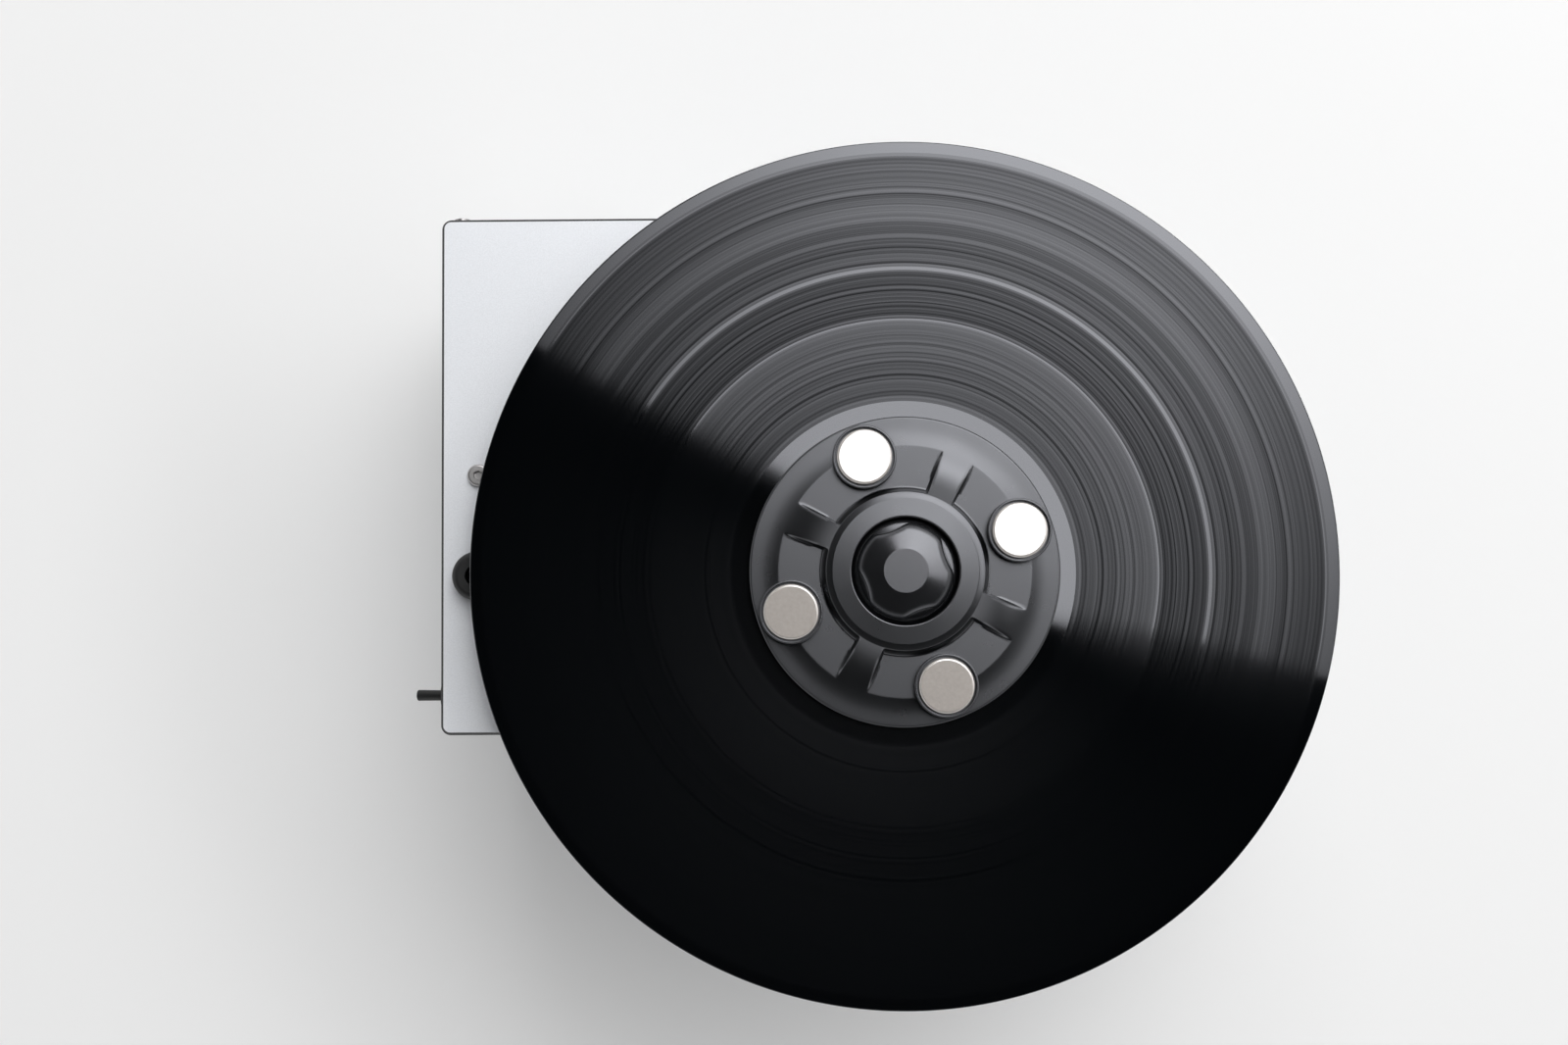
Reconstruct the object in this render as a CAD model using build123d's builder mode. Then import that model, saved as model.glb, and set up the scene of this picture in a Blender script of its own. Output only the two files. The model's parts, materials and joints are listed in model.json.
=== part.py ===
from build123d import *
import os
from math import acos, atan, cos, degrees, pi, radians, sin, tan

# Compact vacuum record cleaning machine: a satin metal case with a turning label-sized platter, a
# twelve-inch record held under a screw-down clamp, a wet vacuum with its waste tank, and the drive.
# Millimetres, +Z up, front towards -Y. The origin is the middle of the overall box, on the floor.

# ---- Driving dimensions ----
# Record
record_radius = 150.9
record_thickness = 2.0
record_hole_radius = 3.62
groove_outer_radius = 146.2
groove_inner_radius = 59.8
groove_depth = 0.15
label_radius = 50.0
label_thickness = 0.1
record_above_panel = 20.0

# Case
case_width = 225.0
case_depth = 185.0
case_corner = 3.5
case_top = 170.0
spindle_to_right = 60.7
spindle_to_front = 56.5
wall = 2.0
core_thickness = 3.4
skin_thickness = 0.6
panel_edge = 1.0
rear_return = 12.0
bracket_leg = 12.0
bracket_thickness = 1.5
fit_clearance = 0.2
vent_length = 34.0
vent_width = 3.0
vent_pitch = 7.0
vent_count = 7
bottom_vent_count = 5

# Feet and screws
foot_height = 10.0
foot_radius = 11.0
foot_base_radius = 9.6
foot_inset = 22.0
m4_radius = 2.0
m4_head_radius = 3.5
m4_head_height = 2.2
m3_radius = 1.5
m3_head_radius = 2.8
m3_head_height = 1.7

# Spindle and platter
running_clearance = 0.05
axial_clearance = 0.1
journal_radius = 4.0
bush_radius = 8.0
bush_length = 16.0
bush_flange_radius = 10.0
bush_flange_height = 1.5
housing_flange_radius = 24.0
housing_flange_height = 5.0
housing_barrel_radius = 12.0
housing_length = 40.0
housing_screw_circle = 18.0
platter_radius = 50.5
platter_thickness = 10.0
platter_boss_radius = 9.0
mat_thickness = 2.5
mat_radius = 49.0
pin_clearance = 0.05
thread_radius = 3.0
thread_above_record = 12.0
pin_above_record = 4.0
clip_height = 1.0
clip_radius = 7.5

# Gears
gear_module = 1.25
wheel_teeth = 54
pinion_teeth = 18
pressure_angle = 20.0
backlash = 0.35
gear_width = 8.0
pinion_overhang = 0.5
gear_below_housing = 6.0
gear_hub_radius = 9.0
gear_hub_height = 8.0
pinion_angle = -45.0

# Drive motor
gearbox_radius = 21.0
gearbox_height = 32.0
gearbox_boss_radius = 10.0
gearbox_boss_height = 4.0
gearbox_screw_circle = 15.0
motor_radius = 18.5
motor_height = 46.0
output_shaft_radius = 3.0
output_shaft_depth = 18.0
motor_plate = 2.5
motor_plate_below_pinion = 11.5
spacer_radius = 3.5
strap_margin = 1.0
spacer_circle = 25.0

# Wet vacuum
vacuum_x = -47.0
vacuum_y = 66.0
stand_radius = 34.0
stand_height = 22.0
stand_flange = 4.0
mount_height = 6.0
mount_inner_radius = 20.0
vacuum_motor_radius = 30.0
vacuum_motor_height = 46.0
vacuum_motor_wall = 2.0
rotor_radius = 18.0
rotor_gap = 1.0
rotor_shaft_radius = 4.0
fan_shell_radius = 40.0
fan_shell_height = 33.0
fan_shell_wall = 1.5
fan_neck_radius = 11.0
fan_neck_height = 9.0
impeller_radius = 35.0
impeller_height = 12.0
impeller_plate = 1.5
blade_count = 9
blade_lean = 25.0
blade_thickness = 1.2

# Suction-arm socket and waste tank
socket_from_left = 14.0
socket_y = -0.1
socket_radius = 8.65
socket_height = 10.0
socket_edge = 2.4
socket_bore = 3.7
socket_bore_depth = 20.0
socket_stem_radius = 6.5
socket_tail_radius = 5.5
socket_tail_length = 12.0
channel_radius = 3.0
socket_nut_radius = 10.5
socket_nut_height = 5.0
stem_below_nut = 1.0
suction_tube_wall = 2.4
tank_screw_y = 36.0
tank_screw_from_socket = -0.3
tank_screw_from_right = 12.0
tank_screw_radius = 2.5
tank_screw_head_radius = 4.0
tank_screw_head_height = 2.6
hex_socket_radius = 1.6
hex_socket_depth = 2.2
screw_head_round = 0.7
tank_front_y = -33.0
tank_depth = 78.0
tank_to_fan = 3.0
tank_top = 118.0
tank_wall = 2.5
tank_corner = 8.0
tank_gap = 1.0
lid_thickness = 3.0
lid_post_radius = 5.5
seal_thickness = 1.2
neck_height = 9.0
hose_neck_from_right = 18.0
hose_neck_y = -17.0
hose_wall = 1.8
hose_headroom = 1.0
hose_bend = 14.0
hose_grip = 8.0

# Drain
drain_z = 28.0
drain_tube_radius = 4.0
drain_tube_wall = 1.6
drain_flange_radius = 10.0
drain_flange = 2.5
drain_spigot_radius = 6.0
drain_spigot_length = 12.0
drain_bore_radius = 4.0
drain_plug_head = 5.4
drain_plug_head_height = 3.0
drain_plug_depth = 9.0
drain_nut_radius = 10.0
drain_nut_height = 4.0
drain_grip = 6.0

# Mains inlet and rocker switch
inlet_x = 30.0
inlet_z = 48.0
inlet_width = 27.0
inlet_height = 20.0
inlet_depth = 30.0
inlet_flange = 2.0
inlet_overlap = 3.0
inlet_cavity_width = 24.0
inlet_cavity_height = 16.5
inlet_cavity_depth = 19.0
blade_width = 2.0
blade_height = 4.0
blade_length = 12.0
blade_spacing = 7.0
rocker_x = 4.0
rocker_z = 48.0
rocker_width = 10.0
rocker_half_height = 7.6
rocker_cavity_width = 10.4
rocker_cavity_height = 17.2
rocker_cavity_depth = 7.4
rocker_wall = 1.4
rocker_body_depth = 20.0
rocker_throw = 14.0

# Toggle switches
switch_from_front = 13.1
switch_z = 130.0
switch_body = 13.0
switch_body_depth = 14.0
bushing_radius = 4.7
bushing_length = 6.0
bushing_throat_radius = 2.75
bushing_mouth_radius = 3.5
switch_nut_flat = 6.4
switch_nut_height = 2.4
lever_pivot_out = 1.7
lever_ball_radius = 2.6
lever_base_radius = 2.0
lever_tip_radius = 1.75
lever_reach = 13.0
lever_throw = 12.0

# Control board
board_x = 32.0
board_y = 52.0
board_width = 42.0
board_depth = 62.0
board_thickness = 1.6
board_standoff = 6.0
board_hole_inset = 4.0

# Clamp, measured up from the top of the record
clamp_radius = 53.4
clamp_wall = 2.5
rim_height = 8.6
rim_round = 0.8
seal_height = 2.0
seal_width = 3.5
cone_inner_radius = 28.6
cone_inner_height = 15.7
pad_outer_radius = 43.5
ring_top_radius = 26.2
ring_top_height = 16.6
ring_hole_radius = 18.4
clamp_floor = 2.6
spoke_angle = 64.4
spoke_inner_width = 9.6
spoke_outer_width = 11.5
disc_circle = 41.35
disc_angle = 19.3
disc_radius = 9.5
disc_face_radius = 8.75
disc_top = 15.6
disc_groove = 0.6
disc_boss_radius = 10.9
disc_boss_top = 15.1
disc_seat = 12.6

# Clamp knob
knob_radius = 16.7
knob_flange_top = 12.6
knob_flange_thickness = 2.0
knob_shoulder_radius = 16.4
knob_shoulder_height = 14.4
knob_face_radius = 7.6
knob_top = 18.4
scallop_radius = 19.3
scallop_mid_radius = 14.1
knob_hub_radius = 7.0
knob_hub_clearance = 0.1
knob_hub_bottom = 3.0
insert_radius = 4.6
insert_height = 8.5
insert_gap = 1.0
retainer_radius = 11.0
retainer_height = 1.5

# ---- Places worked out from them ----
spindle_to_left = case_width - spindle_to_right
left_reach = spindle_to_left + lever_pivot_out + lever_reach * cos(radians(lever_throw)) + lever_tip_radius
lever_out = lever_pivot_out + lever_reach + lever_tip_radius
right_reach = max(record_radius, spindle_to_right + lever_out)
front_reach = max(record_radius, spindle_to_front)
rear_reach = max(record_radius, case_depth - spindle_to_front)
spindle_x = (left_reach - right_reach) / 2
spindle_y = (front_reach - rear_reach) / 2

case_left = spindle_x - spindle_to_left
case_right = case_left + case_width
case_front = spindle_y - spindle_to_front
case_rear = case_front + case_depth
case_x = (case_left + case_right) / 2
case_y = (case_front + case_rear) / 2
case_bottom = foot_height
floor_top = case_bottom + wall
core_bottom = case_top - skin_thickness - core_thickness
core_top = case_top - skin_thickness
rear_face = case_rear - wall
rear_inner = rear_face - wall
record_top = case_top + record_above_panel
record_bottom = record_top - record_thickness
platter_top = record_bottom - mat_thickness
platter_bottom = platter_top - platter_thickness
housing_bottom = core_bottom - housing_length
gear_top = housing_bottom - gear_below_housing
gear_bottom = gear_top - gear_width
gear_centres = gear_module * (wheel_teeth + pinion_teeth) / 2
pinion_x = spindle_x + gear_centres * cos(radians(pinion_angle))
pinion_y = spindle_y + gear_centres * sin(radians(pinion_angle))
motor_plate_bottom = gear_bottom - motor_plate_below_pinion - motor_plate
motor_plate_top = motor_plate_bottom + motor_plate
fan_x = spindle_x + vacuum_x
fan_y = spindle_y + vacuum_y
stand_top = floor_top + stand_height
vacuum_motor_bottom = stand_top + mount_height
fan_shell_bottom = vacuum_motor_bottom + vacuum_motor_height
fan_shell_top = fan_shell_bottom + fan_shell_height
arm_x = case_left + socket_from_left
arm_y = spindle_y + socket_y
tank_left = case_left + wall + tank_gap
tank_length = fan_x - fan_shell_radius - tank_to_fan - tank_left
tank_x = tank_left + tank_length / 2
tank_front = spindle_y + tank_front_y
tank_rear = tank_front + tank_depth
tank_y = (tank_front + tank_rear) / 2
lid_bottom = tank_top + seal_thickness
lid_top = lid_bottom + lid_thickness
hose_x = tank_left + tank_length - hose_neck_from_right
hose_y = spindle_y + hose_neck_y
drain_at_x = tank_x
switch_y = case_front + switch_from_front
pivot_left = case_left - lever_pivot_out
pivot_right = case_right + lever_pivot_out
inlet_at_x = spindle_x + inlet_x
rocker_at_x = spindle_x + rocker_x
board_at_x = spindle_x + board_x
board_at_y = spindle_y + board_y

foot_flare = degrees(atan((foot_radius - foot_base_radius) / foot_height))
housing_screw_angles = (30, 150, 270)
spacer_angles = (45, 225)
lid_post_x = (arm_x + tank_screw_from_socket, tank_left + tank_length - tank_screw_from_right)
lid_post_y = spindle_y + tank_screw_y


# ---- Work planes and shapes used more than once ----
def level(height, x=spindle_x, y=spindle_y):
    """A horizontal plane at a height, centred on x and y."""
    return Plane(origin=(x, y, height), x_dir=(1, 0, 0), z_dir=(0, 0, 1))


def facing_rear(x, y, z):
    """A vertical plane that faces +Y, with its sketch x along -X."""
    return Plane(origin=(x, y, z), x_dir=(-1, 0, 0), z_dir=(0, 1, 0))


def facing_side(x, y, z, side):
    """A vertical plane that faces -X for side -1 and +X for side 1, with its sketch x along Y."""
    return Plane(origin=(x, y, z), x_dir=(0, side, 0), z_dir=(side, 0, 0))


def upright(x=spindle_x, y=spindle_y):
    """The vertical plane through an axis, for profiles that are turned about it."""
    return Plane(origin=(x, y, 0), x_dir=(1, 0, 0), z_dir=(0, -1, 0))


def axis_at(x=spindle_x, y=spindle_y):
    """The vertical axis through x and y."""
    return Axis((x, y, 0), (0, 0, 1))


def ring_points(radius, angles, x=spindle_x, y=spindle_y):
    """Points on a circle about x and y, at angles in degrees."""
    return [(x + radius * cos(radians(a)), y + radius * sin(radians(a))) for a in angles]


def involute(angle):
    """The involute function of an angle in radians."""
    return tan(angle) - angle


def gear_outline(teeth, first_tooth):
    """Corners of an involute spur gear, its first tooth centred at an angle in degrees."""
    pitch_radius = gear_module * teeth / 2
    base_radius = pitch_radius * cos(radians(pressure_angle))
    tip_radius = pitch_radius + gear_module
    root_radius = pitch_radius - 1.25 * gear_module
    start_radius = max(base_radius, root_radius)
    half_tooth = pi / (2 * teeth) - backlash / 2 / (2 * pitch_radius)
    half_at_base = half_tooth + involute(radians(pressure_angle))
    steps = 4
    flank = []
    for step in range(steps + 1):
        radius = start_radius + (tip_radius - start_radius) * step / steps
        roll = acos(min(1.0, base_radius / radius))
        flank.append((radius, half_at_base - involute(roll)))
    corners = []
    for tooth in range(teeth):
        middle = radians(first_tooth) + 2 * pi * tooth / teeth
        side = [(root_radius, flank[0][1])] + [point for point in flank if point[0] > root_radius + 0.01]
        for radius, angle in side:
            corners.append((radius * cos(middle - angle), radius * sin(middle - angle)))
        for radius, angle in reversed(side):
            corners.append((radius * cos(middle + angle), radius * sin(middle + angle)))
    return corners


def finish(part, name):
    """Labels a finished part and writes it as one STEP file."""
    part.label = name
    export_step(part, f"parts/{name}.step")


os.makedirs("parts", exist_ok=True)

# ---- Case ----
foot_grid = (case_width - 2 * foot_inset, case_depth - 2 * foot_inset)
rear_height = core_bottom - floor_top
rear_middle = floor_top + rear_height / 2
rear_grid = (case_width - rear_return, rear_height - rear_return)
inner_width = case_width - 2 * wall
inner_depth = case_depth - 2 * wall
with BuildPart() as side_wrap:
    with BuildSketch(level(case_bottom, case_x, case_y)):
        RectangleRounded(case_width, case_depth, case_corner)
        RectangleRounded(inner_width, inner_depth, case_corner - wall, mode=Mode.SUBTRACT)
        with Locations((0, case_depth / 2)):
            Rectangle(case_width - 2 * rear_return, 4 * wall, mode=Mode.SUBTRACT)
    extrude(amount=core_bottom - case_bottom)
    for side, face in ((-1, case_left), (1, case_right)):
        with Locations(facing_side(face, switch_y, switch_z, side)):
            Cylinder(bushing_radius, 4 * wall, mode=Mode.SUBTRACT)
    with Locations(facing_rear(case_x, case_rear, rear_middle)):
        with GridLocations(*rear_grid, 2, 2):
            Cylinder(m3_radius, 4 * wall, mode=Mode.SUBTRACT)
finish(side_wrap.part, "side_wrap")

with BuildPart() as bottom_plate:
    with BuildSketch(level(case_bottom, case_x, case_y)):
        RectangleRounded(inner_width - 2 * fit_clearance, inner_depth - 2 * fit_clearance, case_corner - wall)
        with GridLocations(*foot_grid, 2, 2):
            Circle(m4_radius, mode=Mode.SUBTRACT)
        with Locations((fan_x - case_x, fan_y - case_y)):
            with GridLocations(vent_pitch, 0, bottom_vent_count, 1):
                SlotOverall(vent_length, vent_width, rotation=90, mode=Mode.SUBTRACT)
    extrude(amount=wall)
finish(bottom_plate.part, "bottom_plate")

rear_width = case_width - 2 * case_corner
vent_x = case_x - fan_x
with BuildPart() as rear_panel:
    with BuildSketch(facing_rear(case_x, rear_inner, rear_middle)):
        Rectangle(rear_width, rear_height)
        with Locations((vent_x, tank_top - rear_middle - vent_length / 2)):
            with GridLocations(vent_pitch, 0, vent_count, 1):
                SlotOverall(vent_length, vent_width, rotation=90, mode=Mode.SUBTRACT)
    extrude(amount=wall)
    with Locations(facing_rear(drain_at_x, rear_face, drain_z)):
        Cylinder(drain_spigot_radius, 4 * wall, mode=Mode.SUBTRACT)
    with Locations(facing_rear(inlet_at_x, rear_face, inlet_z)):
        Box(inlet_width, inlet_height, 4 * wall, mode=Mode.SUBTRACT)
    with Locations(facing_rear(rocker_at_x, rear_face, rocker_z)):
        Box(
            rocker_cavity_width + 2 * rocker_wall,
            rocker_cavity_height + 2 * rocker_wall,
            4 * wall,
            mode=Mode.SUBTRACT,
        )
    with Locations(facing_rear(case_x, rear_face, rear_middle)):
        with GridLocations(*rear_grid, 2, 2):
            Cylinder(m3_radius, 4 * wall, mode=Mode.SUBTRACT)
finish(rear_panel.part, "rear_panel")

bracket_depth = inner_depth - wall
with BuildPart() as corner_brackets:
    with BuildSketch(level(floor_top, case_x, case_y - wall / 2)):
        RectangleRounded(inner_width, bracket_depth, case_corner - wall)
        bracket_inner = (inner_width - 2 * bracket_thickness, bracket_depth - 2 * bracket_thickness)
        Rectangle(*bracket_inner, mode=Mode.SUBTRACT)
        Rectangle(inner_width - 2 * bracket_leg, 2 * bracket_depth, mode=Mode.SUBTRACT)
        Rectangle(2 * inner_width, bracket_depth - 2 * bracket_leg, mode=Mode.SUBTRACT)
    extrude(amount=core_bottom - floor_top)
    with Locations((case_x, switch_y, switch_z)):
        Box(case_width, switch_body + 2 * fit_clearance, switch_body + 2 * fit_clearance, mode=Mode.SUBTRACT)
    with Locations(facing_rear(case_x, rear_inner, rear_middle)):
        with GridLocations(*rear_grid, 2, 2):
            Cylinder(m3_radius, 4 * bracket_thickness, mode=Mode.SUBTRACT)
finish(corner_brackets.part, "corner_brackets")

with BuildPart() as top_panel:
    with BuildSketch(level(core_bottom, case_x, case_y)):
        RectangleRounded(case_width, case_depth, case_corner)
    extrude(amount=core_thickness)
    chamfer(top_panel.faces().sort_by(Axis.Z)[-1].edges(), panel_edge)
    with Locations(level(core_top)):
        Cylinder(bush_radius, 4 * core_thickness, mode=Mode.SUBTRACT)
    with Locations(level(core_top, arm_x, arm_y)):
        Cylinder(socket_stem_radius, 4 * core_thickness, mode=Mode.SUBTRACT)
    for x, y in ring_points(housing_screw_circle, housing_screw_angles):
        with Locations((x, y, core_top)):
            Cylinder(m4_radius, 4 * core_thickness, mode=Mode.SUBTRACT)
    for x, y in ring_points(spacer_circle, spacer_angles, pinion_x, pinion_y):
        with Locations((x, y, core_top)):
            Cylinder(m4_radius, 4 * core_thickness, mode=Mode.SUBTRACT)
    for x in lid_post_x:
        with Locations((x, lid_post_y, core_top)):
            Cylinder(tank_screw_radius, 4 * core_thickness, mode=Mode.SUBTRACT)
finish(top_panel.part, "top_panel")

with BuildPart() as top_skin:
    with BuildSketch(level(core_top, case_x, case_y)):
        RectangleRounded(case_width - 2 * panel_edge, case_depth - 2 * panel_edge, case_corner - panel_edge)
    extrude(amount=skin_thickness)
    with Locations(level(core_top)):
        Cylinder(bush_radius, 4 * skin_thickness, mode=Mode.SUBTRACT)
    with Locations(level(core_top, arm_x, arm_y)):
        Cylinder(socket_stem_radius, 4 * skin_thickness, mode=Mode.SUBTRACT)
    for x, y in ring_points(housing_screw_circle, housing_screw_angles):
        with Locations((x, y, core_top)):
            Cylinder(m4_radius, 4 * skin_thickness, mode=Mode.SUBTRACT)
    for x, y in ring_points(spacer_circle, spacer_angles, pinion_x, pinion_y):
        with Locations((x, y, core_top)):
            Cylinder(m4_radius, 4 * skin_thickness, mode=Mode.SUBTRACT)
    for x in lid_post_x:
        with Locations((x, lid_post_y, core_top)):
            Cylinder(tank_screw_radius, 4 * skin_thickness, mode=Mode.SUBTRACT)
finish(top_skin.part, "top_skin")

# ---- Feet and screws ----
with BuildPart() as feet:
    with BuildSketch(level(0, case_x, case_y)):
        with GridLocations(*foot_grid, 2, 2):
            Circle(foot_base_radius)
    extrude(amount=foot_height, taper=-foot_flare)
    with BuildSketch(level(foot_height / 2, case_x, case_y)):
        with GridLocations(*foot_grid, 2, 2):
            Circle(m4_radius)
    extrude(amount=foot_height, mode=Mode.SUBTRACT)
    with BuildSketch(level(0, case_x, case_y)):
        with GridLocations(*foot_grid, 2, 2):
            Circle(m4_head_radius + fit_clearance)
    extrude(amount=foot_height / 2, mode=Mode.SUBTRACT)
finish(feet.part, "feet")

# ---- Spindle, bearings and platter ----
shaft_bottom = gear_bottom - gear_hub_height
barrel_top = core_bottom - housing_flange_height
bush_top = case_top + bush_flange_height
shoulder_bottom = bush_top + axial_clearance
pin_radius = record_hole_radius - pin_clearance
with BuildPart() as bearing_housing:
    with BuildSketch(level(core_bottom)):
        Circle(housing_flange_radius)
    extrude(amount=-housing_flange_height)
    with BuildSketch(level(barrel_top)):
        Circle(housing_barrel_radius)
    extrude(amount=housing_bottom - barrel_top)
    with BuildSketch(level(core_bottom)):
        Circle(bush_radius)
        for x, y in ring_points(housing_screw_circle, housing_screw_angles, 0, 0):
            with Locations((x, y)):
                Circle(m4_radius)
    extrude(amount=housing_bottom - core_bottom, mode=Mode.SUBTRACT)
finish(bearing_housing.part, "bearing_housing")

with BuildPart() as spindle_bushes:
    with BuildSketch(level(bush_top)):
        Circle(bush_flange_radius)
    extrude(amount=-bush_flange_height)
    with BuildSketch(level(case_top)):
        Circle(bush_radius)
    extrude(amount=-bush_length)
    with BuildSketch(level(housing_bottom)):
        Circle(bush_radius)
    extrude(amount=bush_length)
    with Locations(level(housing_bottom + housing_length / 2)):
        Cylinder(journal_radius + running_clearance, 2 * housing_length, mode=Mode.SUBTRACT)
finish(spindle_bushes.part, "spindle_bushes")

with BuildPart() as spindle_shaft:
    with BuildSketch(level(shaft_bottom)):
        Circle(journal_radius)
    extrude(amount=platter_top - shaft_bottom)
    with BuildSketch(level(shoulder_bottom)):
        Circle(platter_boss_radius)
    extrude(amount=platter_bottom - shoulder_bottom)
    with BuildSketch(level(platter_top)):
        Circle(pin_radius)
    extrude(amount=mat_thickness + record_thickness + pin_above_record)
    with BuildSketch(level(record_top + pin_above_record)):
        Circle(thread_radius)
    extrude(amount=thread_above_record - pin_above_record)
    chamfer(spindle_shaft.faces().sort_by(Axis.Z)[-1].edges(), thread_radius / 4)
finish(spindle_shaft.part, "spindle_shaft")

with BuildPart() as shaft_clip:
    with BuildSketch(level(housing_bottom - axial_clearance)):
        Circle(clip_radius)
        Circle(journal_radius, mode=Mode.SUBTRACT)
        with Locations((clip_radius, 0)):
            Rectangle(2 * clip_radius, journal_radius, mode=Mode.SUBTRACT)
    extrude(amount=-clip_height)
finish(shaft_clip.part, "shaft_clip")

set_screw_z = gear_bottom - gear_hub_height / 2
with BuildPart() as drive_gear:
    with BuildSketch(level(gear_bottom)):
        with BuildLine():
            Polyline(*gear_outline(wheel_teeth, pinion_angle), close=True)
        make_face()
        Circle(journal_radius, mode=Mode.SUBTRACT)
    extrude(amount=gear_width)
    with BuildSketch(level(gear_bottom)):
        Circle(gear_hub_radius)
        Circle(journal_radius, mode=Mode.SUBTRACT)
    extrude(amount=-gear_hub_height)
    with Locations(facing_side(spindle_x, spindle_y, set_screw_z, 1)):
        Cylinder(
            m3_radius, 2 * gear_hub_radius, align=(Align.CENTER, Align.CENTER, Align.MIN), mode=Mode.SUBTRACT
        )
finish(drive_gear.part, "drive_gear")

with BuildPart() as gear_set_screw:
    with BuildSketch(facing_side(spindle_x + journal_radius, spindle_y, set_screw_z, 1)):
        Circle(m3_radius)
    extrude(amount=gear_hub_radius - journal_radius)
    with BuildSketch(facing_side(spindle_x + gear_hub_radius, spindle_y, set_screw_z, 1)):
        RegularPolygon(m3_radius / 2, 6)
    extrude(amount=-m3_radius, mode=Mode.SUBTRACT)
finish(gear_set_screw.part, "gear_set_screw")

with BuildPart() as platter:
    with BuildSketch(level(platter_bottom)):
        Circle(platter_radius)
        Circle(journal_radius, mode=Mode.SUBTRACT)
    extrude(amount=platter_thickness)
    with BuildSketch(level(platter_bottom)):
        Circle(platter_radius - 4 * wall)
        Circle(platter_boss_radius + 2 * wall, mode=Mode.SUBTRACT)
    extrude(amount=platter_thickness - 2 * wall, mode=Mode.SUBTRACT)
    fillet(platter.faces().sort_by(Axis.Z)[0].outer_wire().edges(), platter_thickness / 8)
finish(platter.part, "platter")

with BuildPart() as platter_mat:
    with BuildSketch(level(platter_top)):
        Circle(mat_radius)
        Circle(pin_radius, mode=Mode.SUBTRACT)
    extrude(amount=mat_thickness)
finish(platter_mat.part, "platter_mat")

# ---- Drive motor ----
strap_angle = spacer_angles[0]
gearbox_top = motor_plate_bottom
gearbox_bottom = gearbox_top - gearbox_height
shaft_hole_bottom = gearbox_top + gearbox_boss_height - output_shaft_depth
with BuildPart() as motor_bracket:
    with BuildSketch(level(motor_plate_bottom, pinion_x, pinion_y)):
        Circle(gearbox_radius)
        SlotCenterToCenter(2 * spacer_circle, 2 * (spacer_radius + strap_margin), rotation=strap_angle)
        Circle(gearbox_boss_radius, mode=Mode.SUBTRACT)
        with PolarLocations(gearbox_screw_circle, 4, start_angle=strap_angle + 45):
            Circle(m3_radius, mode=Mode.SUBTRACT)
        with PolarLocations(spacer_circle, 2, start_angle=strap_angle):
            Circle(m4_radius, mode=Mode.SUBTRACT)
    extrude(amount=motor_plate)
finish(motor_bracket.part, "motor_bracket")

with BuildPart() as motor_spacers:
    with BuildSketch(level(motor_plate_top, pinion_x, pinion_y)):
        with PolarLocations(spacer_circle, 2, start_angle=strap_angle):
            RegularPolygon(spacer_radius, 6)
    extrude(amount=core_bottom - motor_plate_top)
    for height in (motor_plate_top, core_bottom):
        with BuildSketch(level(height, pinion_x, pinion_y)):
            with PolarLocations(spacer_circle, 2, start_angle=strap_angle):
                Circle(m4_radius)
        extrude(amount=2 * m4_radius, both=True, mode=Mode.SUBTRACT)
finish(motor_spacers.part, "motor_spacers")

with BuildPart() as drive_gearbox:
    with BuildSketch(level(gearbox_bottom, pinion_x, pinion_y)):
        Circle(gearbox_radius)
    extrude(amount=gearbox_height)
    with BuildSketch(level(gearbox_top, pinion_x, pinion_y)):
        Circle(gearbox_boss_radius)
    extrude(amount=gearbox_boss_height)
    with BuildSketch(level(shaft_hole_bottom, pinion_x, pinion_y)):
        Circle(output_shaft_radius + running_clearance)
    extrude(amount=output_shaft_depth, mode=Mode.SUBTRACT)
    with BuildSketch(level(gearbox_top, pinion_x, pinion_y)):
        with PolarLocations(gearbox_screw_circle, 4, start_angle=strap_angle + 45):
            Circle(m3_radius)
    extrude(amount=-4 * m3_radius, mode=Mode.SUBTRACT)
finish(drive_gearbox.part, "drive_gearbox")

with BuildPart() as drive_motor:
    with BuildSketch(level(gearbox_bottom, pinion_x, pinion_y)):
        Circle(motor_radius)
    extrude(amount=-motor_height)
    chamfer(drive_motor.faces().sort_by(Axis.Z)[0].edges(), m3_radius)
    with BuildSketch(level(gearbox_bottom - motor_height, pinion_x, pinion_y)):
        Circle(motor_radius / 3)
    extrude(amount=-m3_radius)
finish(drive_motor.part, "drive_motor")

with BuildPart() as pinion_shaft:
    with BuildSketch(level(shaft_hole_bottom + axial_clearance, pinion_x, pinion_y)):
        Circle(output_shaft_radius)
    extrude(amount=gear_top + 2 * pinion_overhang - shaft_hole_bottom - axial_clearance)
finish(pinion_shaft.part, "pinion_shaft")

opposite_tooth = pinion_angle + 180 + 180 / pinion_teeth
with BuildPart() as drive_pinion:
    with BuildSketch(level(gear_bottom - pinion_overhang, pinion_x, pinion_y)):
        with BuildLine():
            Polyline(*gear_outline(pinion_teeth, opposite_tooth), close=True)
        make_face()
        Circle(output_shaft_radius, mode=Mode.SUBTRACT)
    extrude(amount=gear_width + 2 * pinion_overhang)
finish(drive_pinion.part, "drive_pinion")

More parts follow.
